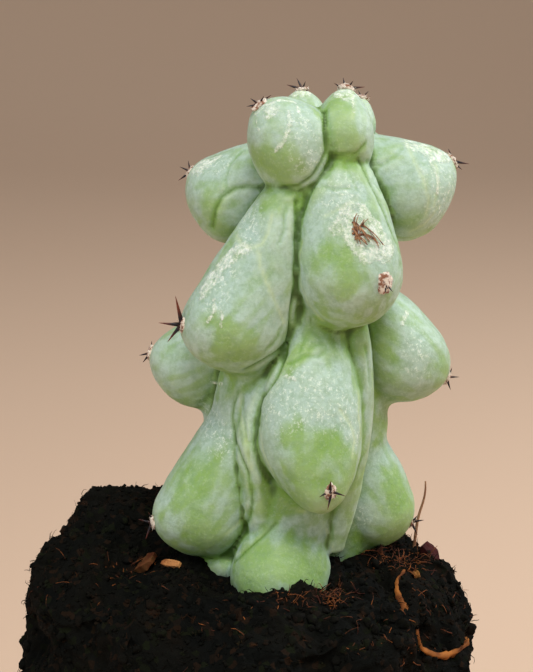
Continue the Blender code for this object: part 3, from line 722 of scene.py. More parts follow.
GROWTH_LINES = (
    (0.3, (237, 236), (242, 245), (252, 248), (262, 244), (268, 234), (272, 215)),
    (0.3, (258, 250), (261, 268), (270, 290), (278, 308), (284, 322)),
    (0.3, (303, 240), (299, 262), (300, 285), (308, 305), (322, 320)),
    (0.25, (325, 216), (341, 208), (357, 199)),
    (0.3, (405, 138), (412, 156), (423, 178), (429, 200), (426, 216)),
    (0.25, (428, 146), (437, 168), (438, 188), (434, 206)),
    (0.25, (216, 212), (222, 200), (236, 191), (256, 190)),
    (0.3, (340, 410), (351, 425), (355, 440), (352, 456)),
    (0.25, (262, 398), (259, 425), (263, 452), (274, 474)),
    (0.3, (358, 392), (358, 412), (361, 436)),
    (0.25, (240, 396), (240, 412), (246, 440), (251, 468)),
    (0.3, (247, 505), (240, 522), (226, 534)),
    (0.25, (228, 560), (246, 549), (268, 530)),
    (0.25, (326, 530), (333, 548), (332, 570)),
    (0.25, (353, 96), (355, 108), (352, 118)),
    (0.25, (280, 500), (290, 508), (305, 512)),
    (0.25, (410, 232), (425, 224), (440, 206)),
)
SEAM_DEPTH = 0.16


def carve(surface, tree, lines, lip):
    """Presses lines into the skin, with a slight lip on both sides, and returns how deep each point lies in them."""
    normals = surface.normals()
    pressed = np.zeros(surface.count)
    share = np.zeros(surface.count)
    for width, depth, *pixels in lines:
        line = on_skin(tree, pixels)
        if not len(line):
            continue
        away = distance_to(surface, line) / width
        groove = np.exp(-(away**2))
        bank = lip * np.exp(-((away - 2.2) ** 2) / 0.8)
        pressed = np.where(np.abs(depth * (groove - bank)) > np.abs(pressed), depth * (groove - bank), pressed)
        share = np.maximum(share, groove)
    surface.places -= normals * (pressed * MM)[:, None]
    surface.store()
    return share


# Corky scars where the skin dried and healed: patches with corners in pixels, and strokes as (radius in mm, pixels...).
CORK_PATCHES = (
    ((350, 202), (362, 206), (380, 228), (394, 250), (386, 261), (375, 255), (366, 262), (357, 254), (348, 240),
     (338, 231), (330, 230), (340, 218)),
    ((250, 244), (246, 252), (234, 259), (222, 271), (212, 285), (203, 297), (200, 291), (210, 275), (222, 259),
     (236, 248)),
    ((406, 138), (420, 142), (452, 155), (447, 162), (432, 157), (420, 151), (408, 146)),
    ((192, 169), (204, 159), (222, 155), (214, 162), (204, 168), (196, 173)),
    ((264, 110), (272, 106), (277, 109), (270, 116)),
    ((334, 94), (342, 84), (356, 84), (362, 96), (352, 94), (346, 98)),
    ((288, 96), (298, 86), (308, 88), (312, 96), (300, 93)),
)
CORK_STROKES = (
    (0.7, (214, 300), (214, 312), (208, 322)),
    (0.6, (222, 312), (221, 326)),
    (0.6, (430, 160), (438, 178), (437, 194)),
    (0.5, (256, 120), (259, 130)),
    (0.6, (254, 116), (264, 106), (280, 100), (296, 102), (299, 112)),
    (0.7, (289, 112), (290, 126), (284, 140), (276, 151)),
    (0.6, (352, 96), (354, 112)),
    (0.6, (212, 382), (222, 384)),
    (0.6, (285, 376), (296, 379)),
    (0.7, (407, 312), (402, 324)),
)
PATCH_STEP = 2.6
# Chalky bloom, and fresh green where it has rubbed off or the skin is young, with one stroke of painted shade, as
# strokes of (radius in mm, pixels...).
BLOOM = (
    (3.2, (285, 392), (305, 386), (330, 394), (345, 410)),
    (3.0, (275, 412), (300, 410), (325, 412)),
    (2.6, (207, 412), (214, 430), (222, 444)),
    (2.4, (250, 215), (248, 236)),
    (2.6, (345, 190), (335, 205)),
    (3.2, (440, 175), (450, 190), (440, 208)),
    (2.4, (416, 345), (419, 368)),
    (2.6, (300, 120), (308, 140), (310, 158)),
    (2.0, (350, 420), (356, 440)),
    (2.2, (225, 270), (215, 300)),
    (1.6, (360, 512), (362, 520)),
    (2.0, (205, 165), (220, 165)),
)
FRESH_AND_SHADE = (
    (3.6, (196, 478), (192, 500), (200, 525)),
    (2.2, (215, 455), (222, 445)),
    (3.8, (300, 436), (318, 450), (306, 470), (318, 492)),
    (4.2, (250, 575), (280, 560), (310, 575)),
    (3.4, (396, 490), (405, 515), (398, 535)),
    (2.6, (345, 262), (345, 282)),
    (1.8, (325, 252), (322, 262)),
    (2.4, (225, 342), (245, 348)),
    (1.6, (216, 322), (228, 330)),
    # Painted shade: this stroke darkens the face of the right crown lobe.
    (3.2, (338, 106), (340, 126), (346, 144)),
    (2.4, (262, 160), (282, 172)),
    (2.0, (208, 205), (216, 225)),
    (2.2, (382, 330), (384, 350)),
    (1.8, (290, 150), (300, 165)),
    (1.6, (335, 158), (350, 158)),
    (1.6, (300, 355), (290, 370), (280, 385)),
    (1.6, (362, 330), (355, 345)),
    (2.0, (270, 510), (290, 505)),
)


def lobe_streaks(surface, away, centres):
    """Streaks that run down each tubercle from its areole to its neck, fading into its neighbour's streaks."""
    axes = [(stem_point(*neck) - stem_point(*areole)).normalized() for _, neck, _, _, areole in TUBERCLES.values()]
    nearest = np.argsort(away, axis=1)[:, :2]
    streaks = np.zeros(surface.count)
    for number, (first, second) in enumerate(nearest):
        weight = (away[number, second] / away[number, first]) ** 8
        place = Vector(surface.places[number])
        for lobe, share in ((first, weight / (1 + weight)), (second, 1 / (1 + weight))):
            if share < 0.02:
                continue
            offset = (place - centres[lobe]) / MM
            along = offset.dot(axes[lobe])
            across = (offset - axes[lobe] * along) / 1.9 + axes[lobe] * along / 9.0
            streaks[number] += share * noise.noise(across + Vector((7.3 * lobe, 0, 0)))
    return 0.5 + 0.5 * streaks


def paint_skin(surface, tree, grooves):
    """Finds, for each point of the skin, how green, bloomed, corky and deep in a fold it is, and keeps them. The green
    share also holds painted shade on the undersides and low down, the fold share holds painted shade in the creases,
    and the crest share is a painted highlight along the ridges.
    """
    normals = surface.normals()
    eased = surface.eased(surface.places, 16)
    hollow = ((eased - surface.places) * normals).sum(axis=1) / MM
    # How far each point lies in a hollow or groove. The material paints shade there.
    fold = np.clip(hollow / 0.32, 0, 1)
    surface.keep("fold", surface.eased(np.maximum(fold, 0.9 * grooves), 1))
    # Painted highlight: the convex ridges of the lobes are kept paler.
    surface.keep("crest_highlight", surface.eased(np.clip(-hollow / 0.24, 0, 1), 2))

    centres = [stem_point(*tubercle[2]) for tubercle in TUBERCLES.values()]
    tops = np.array(centres)
    radii = np.array([tubercle[3] for tubercle in TUBERCLES.values()]) * MM
    away = np.linalg.norm(surface.places[:, None, :] - tops[None], axis=2) / radii[None]
    own = away.argmin(axis=1)
    # Painted shade: the skin turns greener and darker on each tubercle's underside and low down by the peat, where
    # shade falls, and the paler bloom stays on the tops.
    below = (tops[own][:, 2] + 0.35 * radii[own] - surface.places[:, 2]) / (1.5 * radii[own])
    low = np.clip((PEAT_TOP + 30 * MM - surface.places[:, 2]) / (45 * MM), 0, 1)
    green_and_painted_shade = 0.10 + 0.40 * np.clip(below, 0, 1) + 0.35 * low
    surface.keep("green_and_painted_shade", surface.eased(green_and_painted_shade, 12))
    surface.keep("streak", lobe_streaks(surface, away, centres))
    surface.keep("fresh_and_shade", brushed(surface, tree, FRESH_AND_SHADE, 1.6))
    surface.keep("bloom", brushed(surface, tree, BLOOM, 1.6))

    cork = brushed(surface, tree, CORK_STROKES, 1.1)
    for corners in CORK_PATCHES:
        patch = within(tree, corners)
        cork = np.maximum(cork, np.clip(1.2 - distance_to(surface, patch) / 2.0, 0, 1))
    upward = np.clip(normals[:, 2] - 0.55, 0, 1) * 0.75 * (surface.places[:, 1] > 5 * MM)
    surface.keep("cork", np.maximum(cork, upward))
    lines = np.zeros(surface.count)
    for width, *pixels in GROWTH_LINES:
        line = on_skin(tree, pixels)
        if len(line):
            lines = np.maximum(lines, np.exp(-((distance_to(surface, line) / (1.3 * width)) ** 2)))
    surface.keep("growth", lines)


def waxy_skin(obj):
    """Living epidermis under a chalky wax bloom: satin, slightly see-through, blotched, with raised cork scars."""
    skin = new_finish("waxy_cactus_skin")
    place = add_node(skin, "TexCoord", {}, "Object")
    layers = {}
    for name in ("green_and_painted_shade", "fresh_and_shade", "bloom", "cork", "growth", "fold", "crest_highlight", "streak"):
        layers[name] = add_node(skin, "Attribute", {"attribute_name": name}, "Fac")
    blotch = add_node(skin, "TexNoise", {"Vector": place, "Scale": 1 / (9 * MM), "Detail": 3.0})
    mottle = add_node(skin, "TexNoise", {"Vector": place, "Scale": 1 / (2.4 * MM), "Detail": 4.0, "Roughness": 0.65})
    grain = add_node(skin, "TexNoise", {"Vector": place, "Scale": 1 / (0.7 * MM), "Detail": 3.0})
    flake = add_node(skin, "TexNoise", {"Vector": place, "Scale": 1 / (1.3 * MM), "Detail": 6.0, "Roughness": 0.72})
    scuff = add_node(skin, "TexNoise", {"Vector": place, "Scale": 1 / (0.8 * MM), "Detail": 5.0, "Roughness": 0.8})

    # The green share mixes pale blue-grey bloom with darker green. Its part on the undersides and low down is painted
    # shade.
    green_and_painted_shade = layers["green_and_painted_shade"]
    for layer, share in (("fresh_and_shade", 0.62), ("bloom", -0.50)):
        green_and_painted_shade = add_node(skin, "Math", {"operation": "MULTIPLY_ADD", 0: layers[layer], 1: share, 2: green_and_painted_shade})
    clouds = ((blotch, 0.35, 0.65, 0.26), (mottle, 0.40, 0.62, -0.16), (layers["streak"], 0.38, 0.66, 0.34))
    for cloud, low, high, share in clouds:
        step = add_node(skin, "MapRange", {"interpolation_type": "SMOOTHSTEP", 0: cloud, 1: low, 2: high})
        green_and_painted_shade = add_node(skin, "Math", {"operation": "MULTIPLY_ADD", 0: step, 1: share, 2: green_and_painted_shade})
    share = add_node(skin, "MapRange", {"interpolation_type": "SMOOTHSTEP", 0: green_and_painted_shade, 1: 0.10, 2: 1.00})
    colour = add_node(skin, "Mix", {"data_type": "RGBA", 0: share, 6: "AFC8B9", 7: "80A74B"}, 2)
    fleck = add_node(skin, "MapRange", {"interpolation_type": "SMOOTHSTEP", 0: flake, 1: 0.60, 2: 0.36, 4: 0.42})
    colour = add_node(skin, "Mix", {"data_type": "RGBA", 0: fleck, 6: colour, 7: "75996A"}, 2)

    speckle = add_node(skin, "MapRange", {"interpolation_type": "SMOOTHSTEP", 0: scuff, 1: 0.52, 2: 0.62})
    chalk = add_node(skin, "Math", {"operation": "MULTIPLY_ADD", 0: layers["bloom"], 1: 0.75, 2: 0.12})
    chalk = add_node(skin, "Math", {"operation": "MULTIPLY", 0: chalk, 1: speckle})
    colour = add_node(skin, "Mix", {"data_type": "RGBA", 0: chalk, 6: colour, 7: "E6F0E2"}, 2)
    # Painted highlight: paler along the ridges of the lobes.
    crest_highlight = add_node(skin, "Math", {"operation": "MULTIPLY", 0: layers["crest_highlight"], 1: 0.45})
    colour = add_node(skin, "Mix", {"data_type": "RGBA", 0: crest_highlight, 6: colour, 7: "D0E0BC"}, 2)
    growth = add_node(skin, "Math", {"operation": "MULTIPLY", 0: layers["growth"], 1: 0.48})
    colour = add_node(skin, "Mix", {"data_type": "RGBA", 0: growth, 6: colour, 7: "D3E0A8"}, 2)
    # Painted shade in the creases: folds and furrows turn the fresher green of young skin, and at their deepest a near
    # black-green painted shade.
    for low, high, share, shade in ((0.15, 0.65, 0.65, "79A03E"), (0.50, 1.0, 0.90, "35540F")):
        fold = add_node(skin, "MapRange", {0: layers["fold"], 1: low, 2: high, 4: share})
        colour = add_node(skin, "Mix", {"data_type": "RGBA", 0: fold, 6: colour, 7: shade}, 2)

    edge = add_node(skin, "Math", {"operation": "MULTIPLY_ADD", 0: flake, 1: 1.60, 2: layers["cork"]})
    edge = add_node(skin, "Math", {"operation": "MULTIPLY_ADD", 0: mottle, 1: 0.50, 2: edge})
    cork = add_node(skin, "MapRange", {"interpolation_type": "SMOOTHSTEP", 0: edge, 1: 1.70, 2: 2.06})
    pale = add_node(skin, "MapRange", {0: scuff, 1: 0.36, 2: 0.64})
    dry = add_node(skin, "Mix", {"data_type": "RGBA", 0: pale, 6: "CFDDBF", 7: "F4F7EC"}, 2)
    broken = add_node(skin, "MapRange", {0: scuff, 1: 0.42, 2: 0.58, 3: 0.28, 4: 0.82})
    opaque = add_node(skin, "Math", {"operation": "MULTIPLY", 0: cork, 1: broken})
    colour = add_node(skin, "Mix", {"data_type": "RGBA", 0: opaque, 6: colour, 7: dry}, 2)

    rough = add_node(skin, "MapRange", {0: mottle, 3: 0.42, 4: 0.60})
    rough = add_node(skin, "Math", {"operation": "MULTIPLY_ADD", 0: cork, 1: 0.22, 2: rough})
    ripple = add_node(skin, "Bump", {"Strength": 0.45, "Distance": 0.6 * MM, "Height": mottle})
    pores = add_node(skin, "Bump", {"Strength": 0.35, "Distance": 0.14 * MM, "Height": grain, "Normal": ripple})
    scar = add_node(skin, "Bump", {"Strength": 0.5, "Distance": 0.18 * MM, "Height": cork, "Normal": pores})
    finished(obj, skin, {
        "Base Color": colour,
        "Roughness": rough,
        "Specular IOR Level": 0.45,
        "Subsurface Weight": 0.12,
        "Subsurface Radius": (0.9, 1.0, 0.35),
        "Subsurface Scale": 1.2 * MM,
        "Normal": scar,
    })


def shape_skin(skin):
    """Firms the seams between the lobes, carves the furrows and wrinkles, and lets the flesh swell unevenly."""
    surface = Surface(skin)
    surface.places += 0.9 * (surface.places - surface.eased(surface.places, 10))
    surface.store()
    tree = BVHTree.FromObject(skin, bpy.context.evaluated_depsgraph_get())
    furrows = carve(surface, tree, FURROWS, 0.05)
    wrinkles = carve(surface, tree, WRINKLES, 0.30)
    carve(surface, tree, [(width, SEAM_DEPTH, *pixels) for width, *pixels in GROWTH_LINES], 0.6)
    surface.places = surface.eased(surface.places, 1)
    normals = surface.normals()
    swell = [noise.noise(Vector(place) / (7.5 * MM)) * 0.30 + noise.noise(Vector(place) / (2.8 * MM)) * 0.10
             for place in surface.places]
    surface.places += normals * (np.array(swell) * MM)[:, None]
    surface.store()
    paint_skin(surface, tree, np.maximum(furrows, 0.7 * wrinkles))


skin = grow_skin()
shape_skin(skin)
skin.data.shade_smooth()
waxy_skin(skin)
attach(skin, "root")
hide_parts("cactus")
skin_tree = BVHTree.FromObject(skin, bpy.context.evaluated_depsgraph_get())


# The areoles. Each is a small cushion of cream felt at a tubercle's tip, with short woolly hairs, and the spines
# grow out of it: stiff, dark and swollen at the foot, drying to a reddish point.
AREOLE_RADIUS = 1.4
AREOLE_SIZES = {"front_high": 1.4, "crown_right": 1.35, "crown_left": 1.15, "right_high": 1.2, "right_low": 0.7}
SPINES = {
    "front_high": ((-0.2, -1.5, 0.7), (0.6, -1.4, -0.9), (1.5, -1.0, -1.5), (0.2, -1.2, -1.7)),
    "front_middle": ((0.0, -2.4, 3.0), (2.8, -1.4, -0.4), (-0.6, -1.4, -3.1), (-2.2, -1.5, -0.6), (0.3, -3.2, 0.8)),
    "front_low": (),
    "front_left_high": ((-1.2, -1.0, 5.9), (-4.5, -0.9, 0.6), (-2.8, -1.1, -3.2), (-1.6, -2.4, 1.0)),
    "front_left_low": ((-2.9, -0.5, 0.8), (-1.5, -0.7, -3.3), (-0.9, -0.9, 2.4)),
    "left_high": ((-2.3, 0.0, 1.1), (-2.6, 0.1, -1.7), (-0.6, 0.4, 2.3)),
    "left_middle": ((-2.4, 0.0, -0.6), (0.2, 0.1, 2.4), (-1.7, 0.4, -2.2)),
    "left_low": (),
    "right_high": ((3.4, -0.5, -0.6), (-0.8, -0.4, 2.4), (2.1, 0.5, -1.9)),
    "right_middle": ((2.4, -0.4, 0.2), (0.9, -0.6, 2.2), (0.7, -0.8, -2.4)),
    "right_low": ((2.5, -0.8, 0.8), (1.2, -1.1, -2.3), (1.0, -1.6, 2.0)),
    "crown_left": ((-2.4, -1.0, -0.2), (-1.7, -0.6, 1.3), (2.3, 0.4, 1.8), (0.9, -1.4, 1.8)),
    "crown_right": ((-2.4, -0.4, 1.3), (1.3, -0.9, 1.8), (3.6, 0.0, 0.5), (-0.6, 0.7, 2.2)),
    "crown_back_left": ((-3.0, 0.2, 1.0), (0.7, -0.9, 1.8), (-1.0, 0.9, 2.2)),
    "crown_back_right": ((1.2, 0.3, 1.3), (-0.8, 0.6, 1.4)),
}
SPINE_WIDTHS = ((0.0, 0.56), (0.15, 0.56), (0.32, 0.45), (0.55, 0.32), (0.78, 0.19), (1.0, 0.03))
SPINE_ROOT = 0.8


def spine_tips(name, outward, draw):
    """The tips of one areole's spines: those given, or a ring of three or four that lean out of the areole."""
    if name in SPINES:
        return [Vector(tip) * MM for tip in SPINES[name]]
    across = outward.cross(Vector((0, 0, 1))).normalized()
    up = across.cross(outward)
    count = draw.choice((3, 4))
    start = draw.uniform(0, 360)
    tips = []
    for number in range(count):
        turn = math.radians(start + 360 * number / count + draw.uniform(-18, 18))
        lean = math.radians(draw.uniform(38, 66))
        sideways = across * math.cos(turn) + up * math.sin(turn)
        tips.append((outward * math.cos(lean) + sideways * math.sin(lean)) * draw.uniform(2.8, 5.0) * MM)
    return tips


def spine_strand(root, tip, draw):
    """The line of one spine from inside the skin to its point, with a slight bend. A short spine is slimmer."""
    bend = Vector((draw.uniform(-1, 1), draw.uniform(-1, 1), draw.uniform(-1, 1))) * 0.05 * tip.length
    start = root - tip.normalized() * SPINE_ROOT * MM
    girth = min(1.0, 0.40 + 0.11 * tip.length / MM)
    strand = []
    for share, width in SPINE_WIDTHS:
        place = start.lerp(root + tip, share) + bend * math.sin(math.pi * share)
        strand.append((place, width * girth))
    return strand


def areole_cushion(place, outward, radius, draw):
    """A low lumpy dome of felt."""
    bpy.ops.mesh.primitive_uv_sphere_add(segments=28, ring_count=18, radius=radius, location=(0, 0, 0))
    dome = bpy.context.object
    turn = outward.to_track_quat("Z", "Y").to_matrix().to_4x4()
    seed = Vector((draw.uniform(0, 50), draw.uniform(0, 50), draw.uniform(0, 50)))
    for vert in dome.data.vertices:
        lump = 1 + 0.28 * noise.noise(vert.co / (0.9 * MM) + seed) + 0.16 * noise.noise(vert.co / (0.35 * MM) + seed)
        vert.co = Vector((vert.co.x * 0.85, vert.co.y * 1.1, vert.co.z * 0.42)) * lump
    dome.data.transform(Matrix.Translation(place) @ turn)
    return dome


def wool_strands(place, outward, radius, draw):
    across = outward.orthogonal().normalized()
    other = outward.cross(across)
    strands = []
    for _ in range(36):
        turn = draw.uniform(0, 2 * math.pi)
        reach = radius * math.sqrt(draw.uniform(0.02, 1.0)) * 0.95
        sideways = across * math.cos(turn) + other * math.sin(turn)
        foot = place + sideways * reach
        lean = sideways * draw.uniform(0.3, 1.0) + outward * draw.uniform(0.2, 0.8)
        curl = across.cross(sideways) * draw.uniform(-0.3, 0.3) + sideways * draw.uniform(-0.4, 0.3)
        length = draw.uniform(0.25, 0.55) * MM
        tip = foot + (lean + curl) * length
        strands.append([(foot, 0.05), (foot + lean * length * 0.55, 0.045), (tip, 0.015)])
    return strands


def grow_areoles():
    """Every areole's felt with its wool, and all the spines, as two pieces."""
    bpy.ops.object.select_all(action="DESELECT")
    draw = random.Random(7)
    bend = random.Random(11)
    domes, wool, thorns, roots = [], [], [], []
    for name, (_, _, _, _, areole) in TUBERCLES.items():
        place, outward, _, _ = skin_tree.find_nearest(stem_point(*areole))
        tips = spine_tips(name, outward, draw)
        if not tips:
            continue
        roots.append(place)
        radius = AREOLE_RADIUS * AREOLE_SIZES.get(name, 1.0) * MM
        domes.append(areole_cushion(place, outward, radius, bend))
        wool += wool_strands(place + outward * 0.3 * MM, outward, radius, bend)
        thorns += [spine_strand(place, tip, bend) for tip in tips]
    felt = joined(domes + [grow_strands("wool", wool, 0, False)], "areole_felt")
    spines = grow_strands("spines", thorns, 2, True)
    roots = np.array(roots)
    surface = Surface(spines)
    from_root = np.linalg.norm(surface.places[:, None, :] - roots[None], axis=2).min(axis=1)
    surface.keep("from_root", from_root / (5 * MM))
    for obj in (felt, spines):
        obj.data.shade_smooth()
    return felt, spines


def cream_felt(obj):
    """Short plant wool, dry and matt, cream with rusty tufts where it has aged."""
    felt = new_finish("areole_felt")
    place = add_node(felt, "TexCoord", {}, "Object")
    tuft = add_node(felt, "TexNoise", {"Vector": place, "Scale": 1 / (0.8 * MM), "Detail": 3.0})
    fibre = add_node(felt, "TexNoise", {"Vector": place, "Scale": 1 / (0.2 * MM), "Detail": 2.0})
    aged = add_node(felt, "MapRange", {"interpolation_type": "SMOOTHSTEP", 0: tuft, 1: 0.46, 2: 0.62})
    colour = add_node(felt, "Mix", {"data_type": "RGBA", 0: aged, 6: "EADBC8", 7: "8F5E42"}, 2)
    nap = add_node(felt, "Bump", {"Strength": 0.8, "Distance": 0.15 * MM, "Height": fibre})
    finished(obj, felt, {"Base Color": colour, "Roughness": 0.92, "Sheen Weight": 0.35, "Normal": nap})


def horny_spine(obj):
    """Horn-hard spines: glossy grey-black, with a russet foot and a red-brown point."""
    horn = new_finish("horny_spine")
    place = add_node(horn, "TexCoord", {}, "Object")
    along = add_node(horn, "Attribute", {"attribute_name": "from_root"}, "Fac")
    streak = add_node(horn, "TexNoise", {"Vector": place, "Scale": 1 / (0.9 * MM), "Detail": 2.0})
    reach = add_node(horn, "Math", {"operation": "MULTIPLY_ADD", 0: streak, 1: 0.25, 2: along})
    foot = add_node(horn, "MapRange", {0: reach, 1: 0.26, 2: 0.38})
    colour = add_node(horn, "Mix", {"data_type": "RGBA", 0: foot, 6: "4A2A20", 7: "17121A"}, 2)
    point = add_node(horn, "MapRange", {0: reach, 1: 0.48, 2: 0.90})
    colour = add_node(horn, "Mix", {"data_type": "RGBA", 0: point, 6: colour, 7: "70301E"}, 2)
    grain = add_node(horn, "Bump", {"Strength": 0.3, "Distance": 0.05 * MM, "Height": streak})
    finished(obj, horn, {"Base Color": colour, "Roughness": 0.45, "Specular IOR Level": 0.35, "Normal": grain})


areole_felt, spines = grow_areoles()
cream_felt(areole_felt)
horny_spine(spines)
for piece in (areole_felt, spines):
    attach(piece, "root")


# The dead flower. A shrivelled tuft of dry petals, papery and rust brown, still holds on in the corky patch above
# the upper front areole. It is a pinch of curled strands stuck down at one end.
FLOWER_STRANDS = (
    ((356, 234), (353, 225), (355, 216)),
    ((354, 233), (359, 226), (365, 222)),
    ((355, 236), (362, 230), (372, 236), (377, 245)),
    ((356, 238), (360, 236), (364, 241), (366, 244)),
    ((353, 228), (357, 234), (358, 243)),
    ((362, 226), (368, 230), (375, 238), (380, 247)),
    ((354, 222), (359, 228), (357, 238)),
    ((358, 226), (363, 234), (370, 240)),
)


def dry_flower():
    draw = random.Random(5)
    strands = []
    for pixels in FLOWER_STRANDS:
        for _ in range(3):
            strand = []
            for step, (across, down) in enumerate(pixels):
                ray = view_ray(across + draw.uniform(-2.2, 2.2), down + draw.uniform(-2.2, 2.2))
                place, outward, _, _ = skin_tree.ray_cast(LENS, ray)
                lift = draw.uniform(0.1, 1.0) * (1.0 if step else 0.4)
                strand.append((place + outward * lift * MM, draw.uniform(0.08, 0.17) * (1 - 0.18 * step)))
            strands.append(strand)
    flower = grow_strands("dry_flower", strands, 1, True)
    flower.data.shade_smooth()
    return flower


def dead_petal(obj):
    """Papery dead petal: rust brown, creased, paler in patches."""
    petal = new_finish("dead_petal")
    place = add_node(petal, "TexCoord", {}, "Object")
    crease = add_node(petal, "TexNoise", {"Vector": place, "Scale": 1 / (0.7 * MM), "Detail": 3.0})
    shade = add_node(petal, "MapRange", {0: crease, 1: 0.38, 2: 0.64})
    colour = add_node(petal, "Mix", {"data_type": "RGBA", 0: shade, 6: "5E3420", 7: "B4855C"}, 2)
    fold = add_node(petal, "Bump", {"Strength": 0.7, "Distance": 0.15 * MM, "Height": crease})
    finished(obj, petal, {"Base Color": colour, "Roughness": 0.8, "Normal": fold})


flower = dry_flower()
dead_petal(flower)
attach(flower, "root")


# Loose peat. Crumbs lie over the whole block, and torn fibres of coir and root stick out of it, most of them near
# black, some rust-coloured. Each crumb is a small lump of a few faces, half sunk in the block.
CRUMB_COUNT = 3000
CRUMB_SIZES = (0.22, 0.65)
CLOD_SHARE = 0.08
CLOD_SIZES = (0.7, 1.3)
FIBRE_COUNT = 3200
# Where the rust-coloured roots cluster: a pixel of the photograph, how many, and how far they spread in pixels.
ROOT_PLACES = (
    ((380, 548), 130, 9),
    ((332, 598), 90, 9),
    ((290, 602), 40, 14),
    ((405, 562), 110, 13),
    ((130, 570), 30, 14),
    ((200, 620), 14, 40),
    ((90, 600), 12, 40),
    ((430, 600), 30, 26),
    ((390, 640), 40, 26),
)
peat_tree = BVHTree.FromObject(peat, bpy.context.evaluated_depsgraph_get())


def peat_spot(draw):
    """A random place on the peat that shows above the rim, and which way the peat faces there."""
    while True:
        turn = draw.uniform(0, 2 * math.pi)
        if draw.random() < 0.6:
            reach = PEAT_RADIUS * MM * math.sqrt(draw.random())
            start = Vector((reach * math.cos(turn), reach * math.sin(turn), 3 * PEAT_TOP))
            place, outward, _, _ = peat_tree.ray_cast(start, Vector((0, 0, -1)))
        else:
            side = Vector((math.cos(turn), math.sin(turn), 0))
            height = draw.uniform((POT_HEIGHT + 1.5) * MM, PEAT_TOP + 4 * MM)
            place, outward, _, _ = peat_tree.ray_cast(side * 0.2 + Vector((0, 0, height)), -side)
        if place is None or place.z < (POT_HEIGHT + 1.2) * MM:
            continue
        near, normal, _, _ = skin_tree.find_nearest(place)
        if (place - near).dot(normal) > 0:
            return place, outward


def scatter_crumbs():
    draw = random.Random(21)
    bpy.ops.object.select_all(action="DESELECT")
    kinds = []
    for number, fineness in enumerate((1, 1, 1, 1, 2, 2)):
        bpy.ops.mesh.primitive_ico_sphere_add(subdivisions=fineness, radius=1.0, location=(0, 0, 0))
        lump = bpy.context.object
        points = [v.co * (1 + 0.55 * noise.noise(v.co * 1.3 + Vector((5.1 * number, 2, 1)))) for v in lump.data.vertices]
        kinds.append((points, [tuple(polygon.vertices) for polygon in lump.data.polygons]))
        bpy.data.objects.remove(lump, do_unlink=True)
    verts, faces = [], []
    for _ in range(CRUMB_COUNT):
        place, outward = peat_spot(draw)
        clod = draw.random() < CLOD_SHARE
        size = draw.uniform(*(CLOD_SIZES if clod else CRUMB_SIZES)) * MM
        points, sides = kinds[draw.choice((4, 5)) if clod else draw.randrange(4)]
        stretch = Matrix.Diagonal((size * draw.uniform(0.6, 1.3), size * draw.uniform(0.6, 1.2), size * 0.8, 1))
        axis = Vector((draw.random(), draw.random(), draw.random() + 0.1))
        turn = Matrix.Rotation(draw.uniform(0, math.pi), 4, axis)
        placed = Matrix.Translation(place + outward * 0.1 * size) @ turn @ stretch
        start = len(verts)
        verts += [placed @ point for point in points]
        faces += [tuple(start + corner for corner in side) for side in sides]
    mesh = bpy.data.meshes.new("peat_crumbs")
    mesh.from_pydata(verts, [], faces)
    mesh.shade_smooth()
    crumbs = bpy.data.objects.new("peat_crumbs", mesh)
    bpy.context.scene.collection.objects.link(crumbs)
    return crumbs


def fibre(place, outward, length, width, kink, draw):
    """One thin, kinked fibre that starts under the surface and lies close over it."""
    heading = outward.cross(Vector((draw.uniform(-1, 1), draw.uniform(-1, 1), draw.uniform(-1, 1)))).normalized()
    strand = [(place - outward * 0.5 * MM, width)]
    reached = place
    for step in range(4):
        wander = Vector((draw.uniform(-1, 1), draw.uniform(-1, 1), draw.uniform(-1, 1))) * kink
        heading = (heading + wander + outward * (0.2 - 0.2 * step)).normalized()
        reached = reached + heading * length / 4 * MM
        strand.append((reached, width * (1 - 0.2 * step)))
    return strand


def scatter_fibres():
    draw = random.Random(33)
    strands = []
    for _ in range(FIBRE_COUNT):
        place, outward = peat_spot(draw)
        strands.append(fibre(place, outward, draw.uniform(1.0, 2.8), draw.uniform(0.05, 0.12), 0.5, draw))
    return grow_strands("peat_fibres", strands, 0, False)


def root_bits():
    """Rust-coloured roots that cluster at the plant's foot and in a few places on the block."""
    draw = random.Random(44)
    strands = []
    for (across, down), count, spread in ROOT_PLACES:
        for _ in range(count):
            ray = view_ray(across + draw.gauss(0, spread), down + draw.gauss(0, 0.45 * spread))
            place, outward, _, _ = peat_tree.ray_cast(LENS, ray)
            if place is not None and place.z > (POT_HEIGHT + 1) * MM:
                length = 1.0 + 3.2 * draw.random() ** 2
                strands.append(fibre(place, outward, length, draw.uniform(0.05, 0.13), 0.22, draw))
    return grow_strands("root_bits", strands, 1, False)


def rusty_root(obj):
    """Dry roots and bark shreds, from rust orange to straw brown."""
    root = new_finish("rusty_root")
    place = add_node(root, "TexCoord", {}, "Object")
    piece = add_node(root, "TexNoise", {"Vector": place, "Scale": 1 / (4 * MM), "Detail": 2.0})
    fleck = add_node(root, "TexNoise", {"Vector": place, "Scale": 1 / (0.5 * MM), "Detail": 3.0})
    shade = add_node(root, "MapRange", {0: piece, 1: 0.38, 2: 0.62})
    colour = add_node(root, "Mix", {"data_type": "RGBA", 0: shade, 6: "4A1E0E", 7: "94521F"}, 2)
    dark = add_node(root, "MapRange", {0: fleck, 1: 0.60, 2: 0.45, 4: 0.7})
    colour = add_node(root, "Mix", {"data_type": "RGBA", 0: dark, 6: colour, 7: "2A150C"}, 2)
    bark = add_node(root, "Bump", {"Strength": 0.6, "Distance": 0.2 * MM, "Height": fleck})
    finished(obj, root, {"Base Color": colour, "Roughness": 0.85, "Specular IOR Level": 0.3, "Normal": bark})


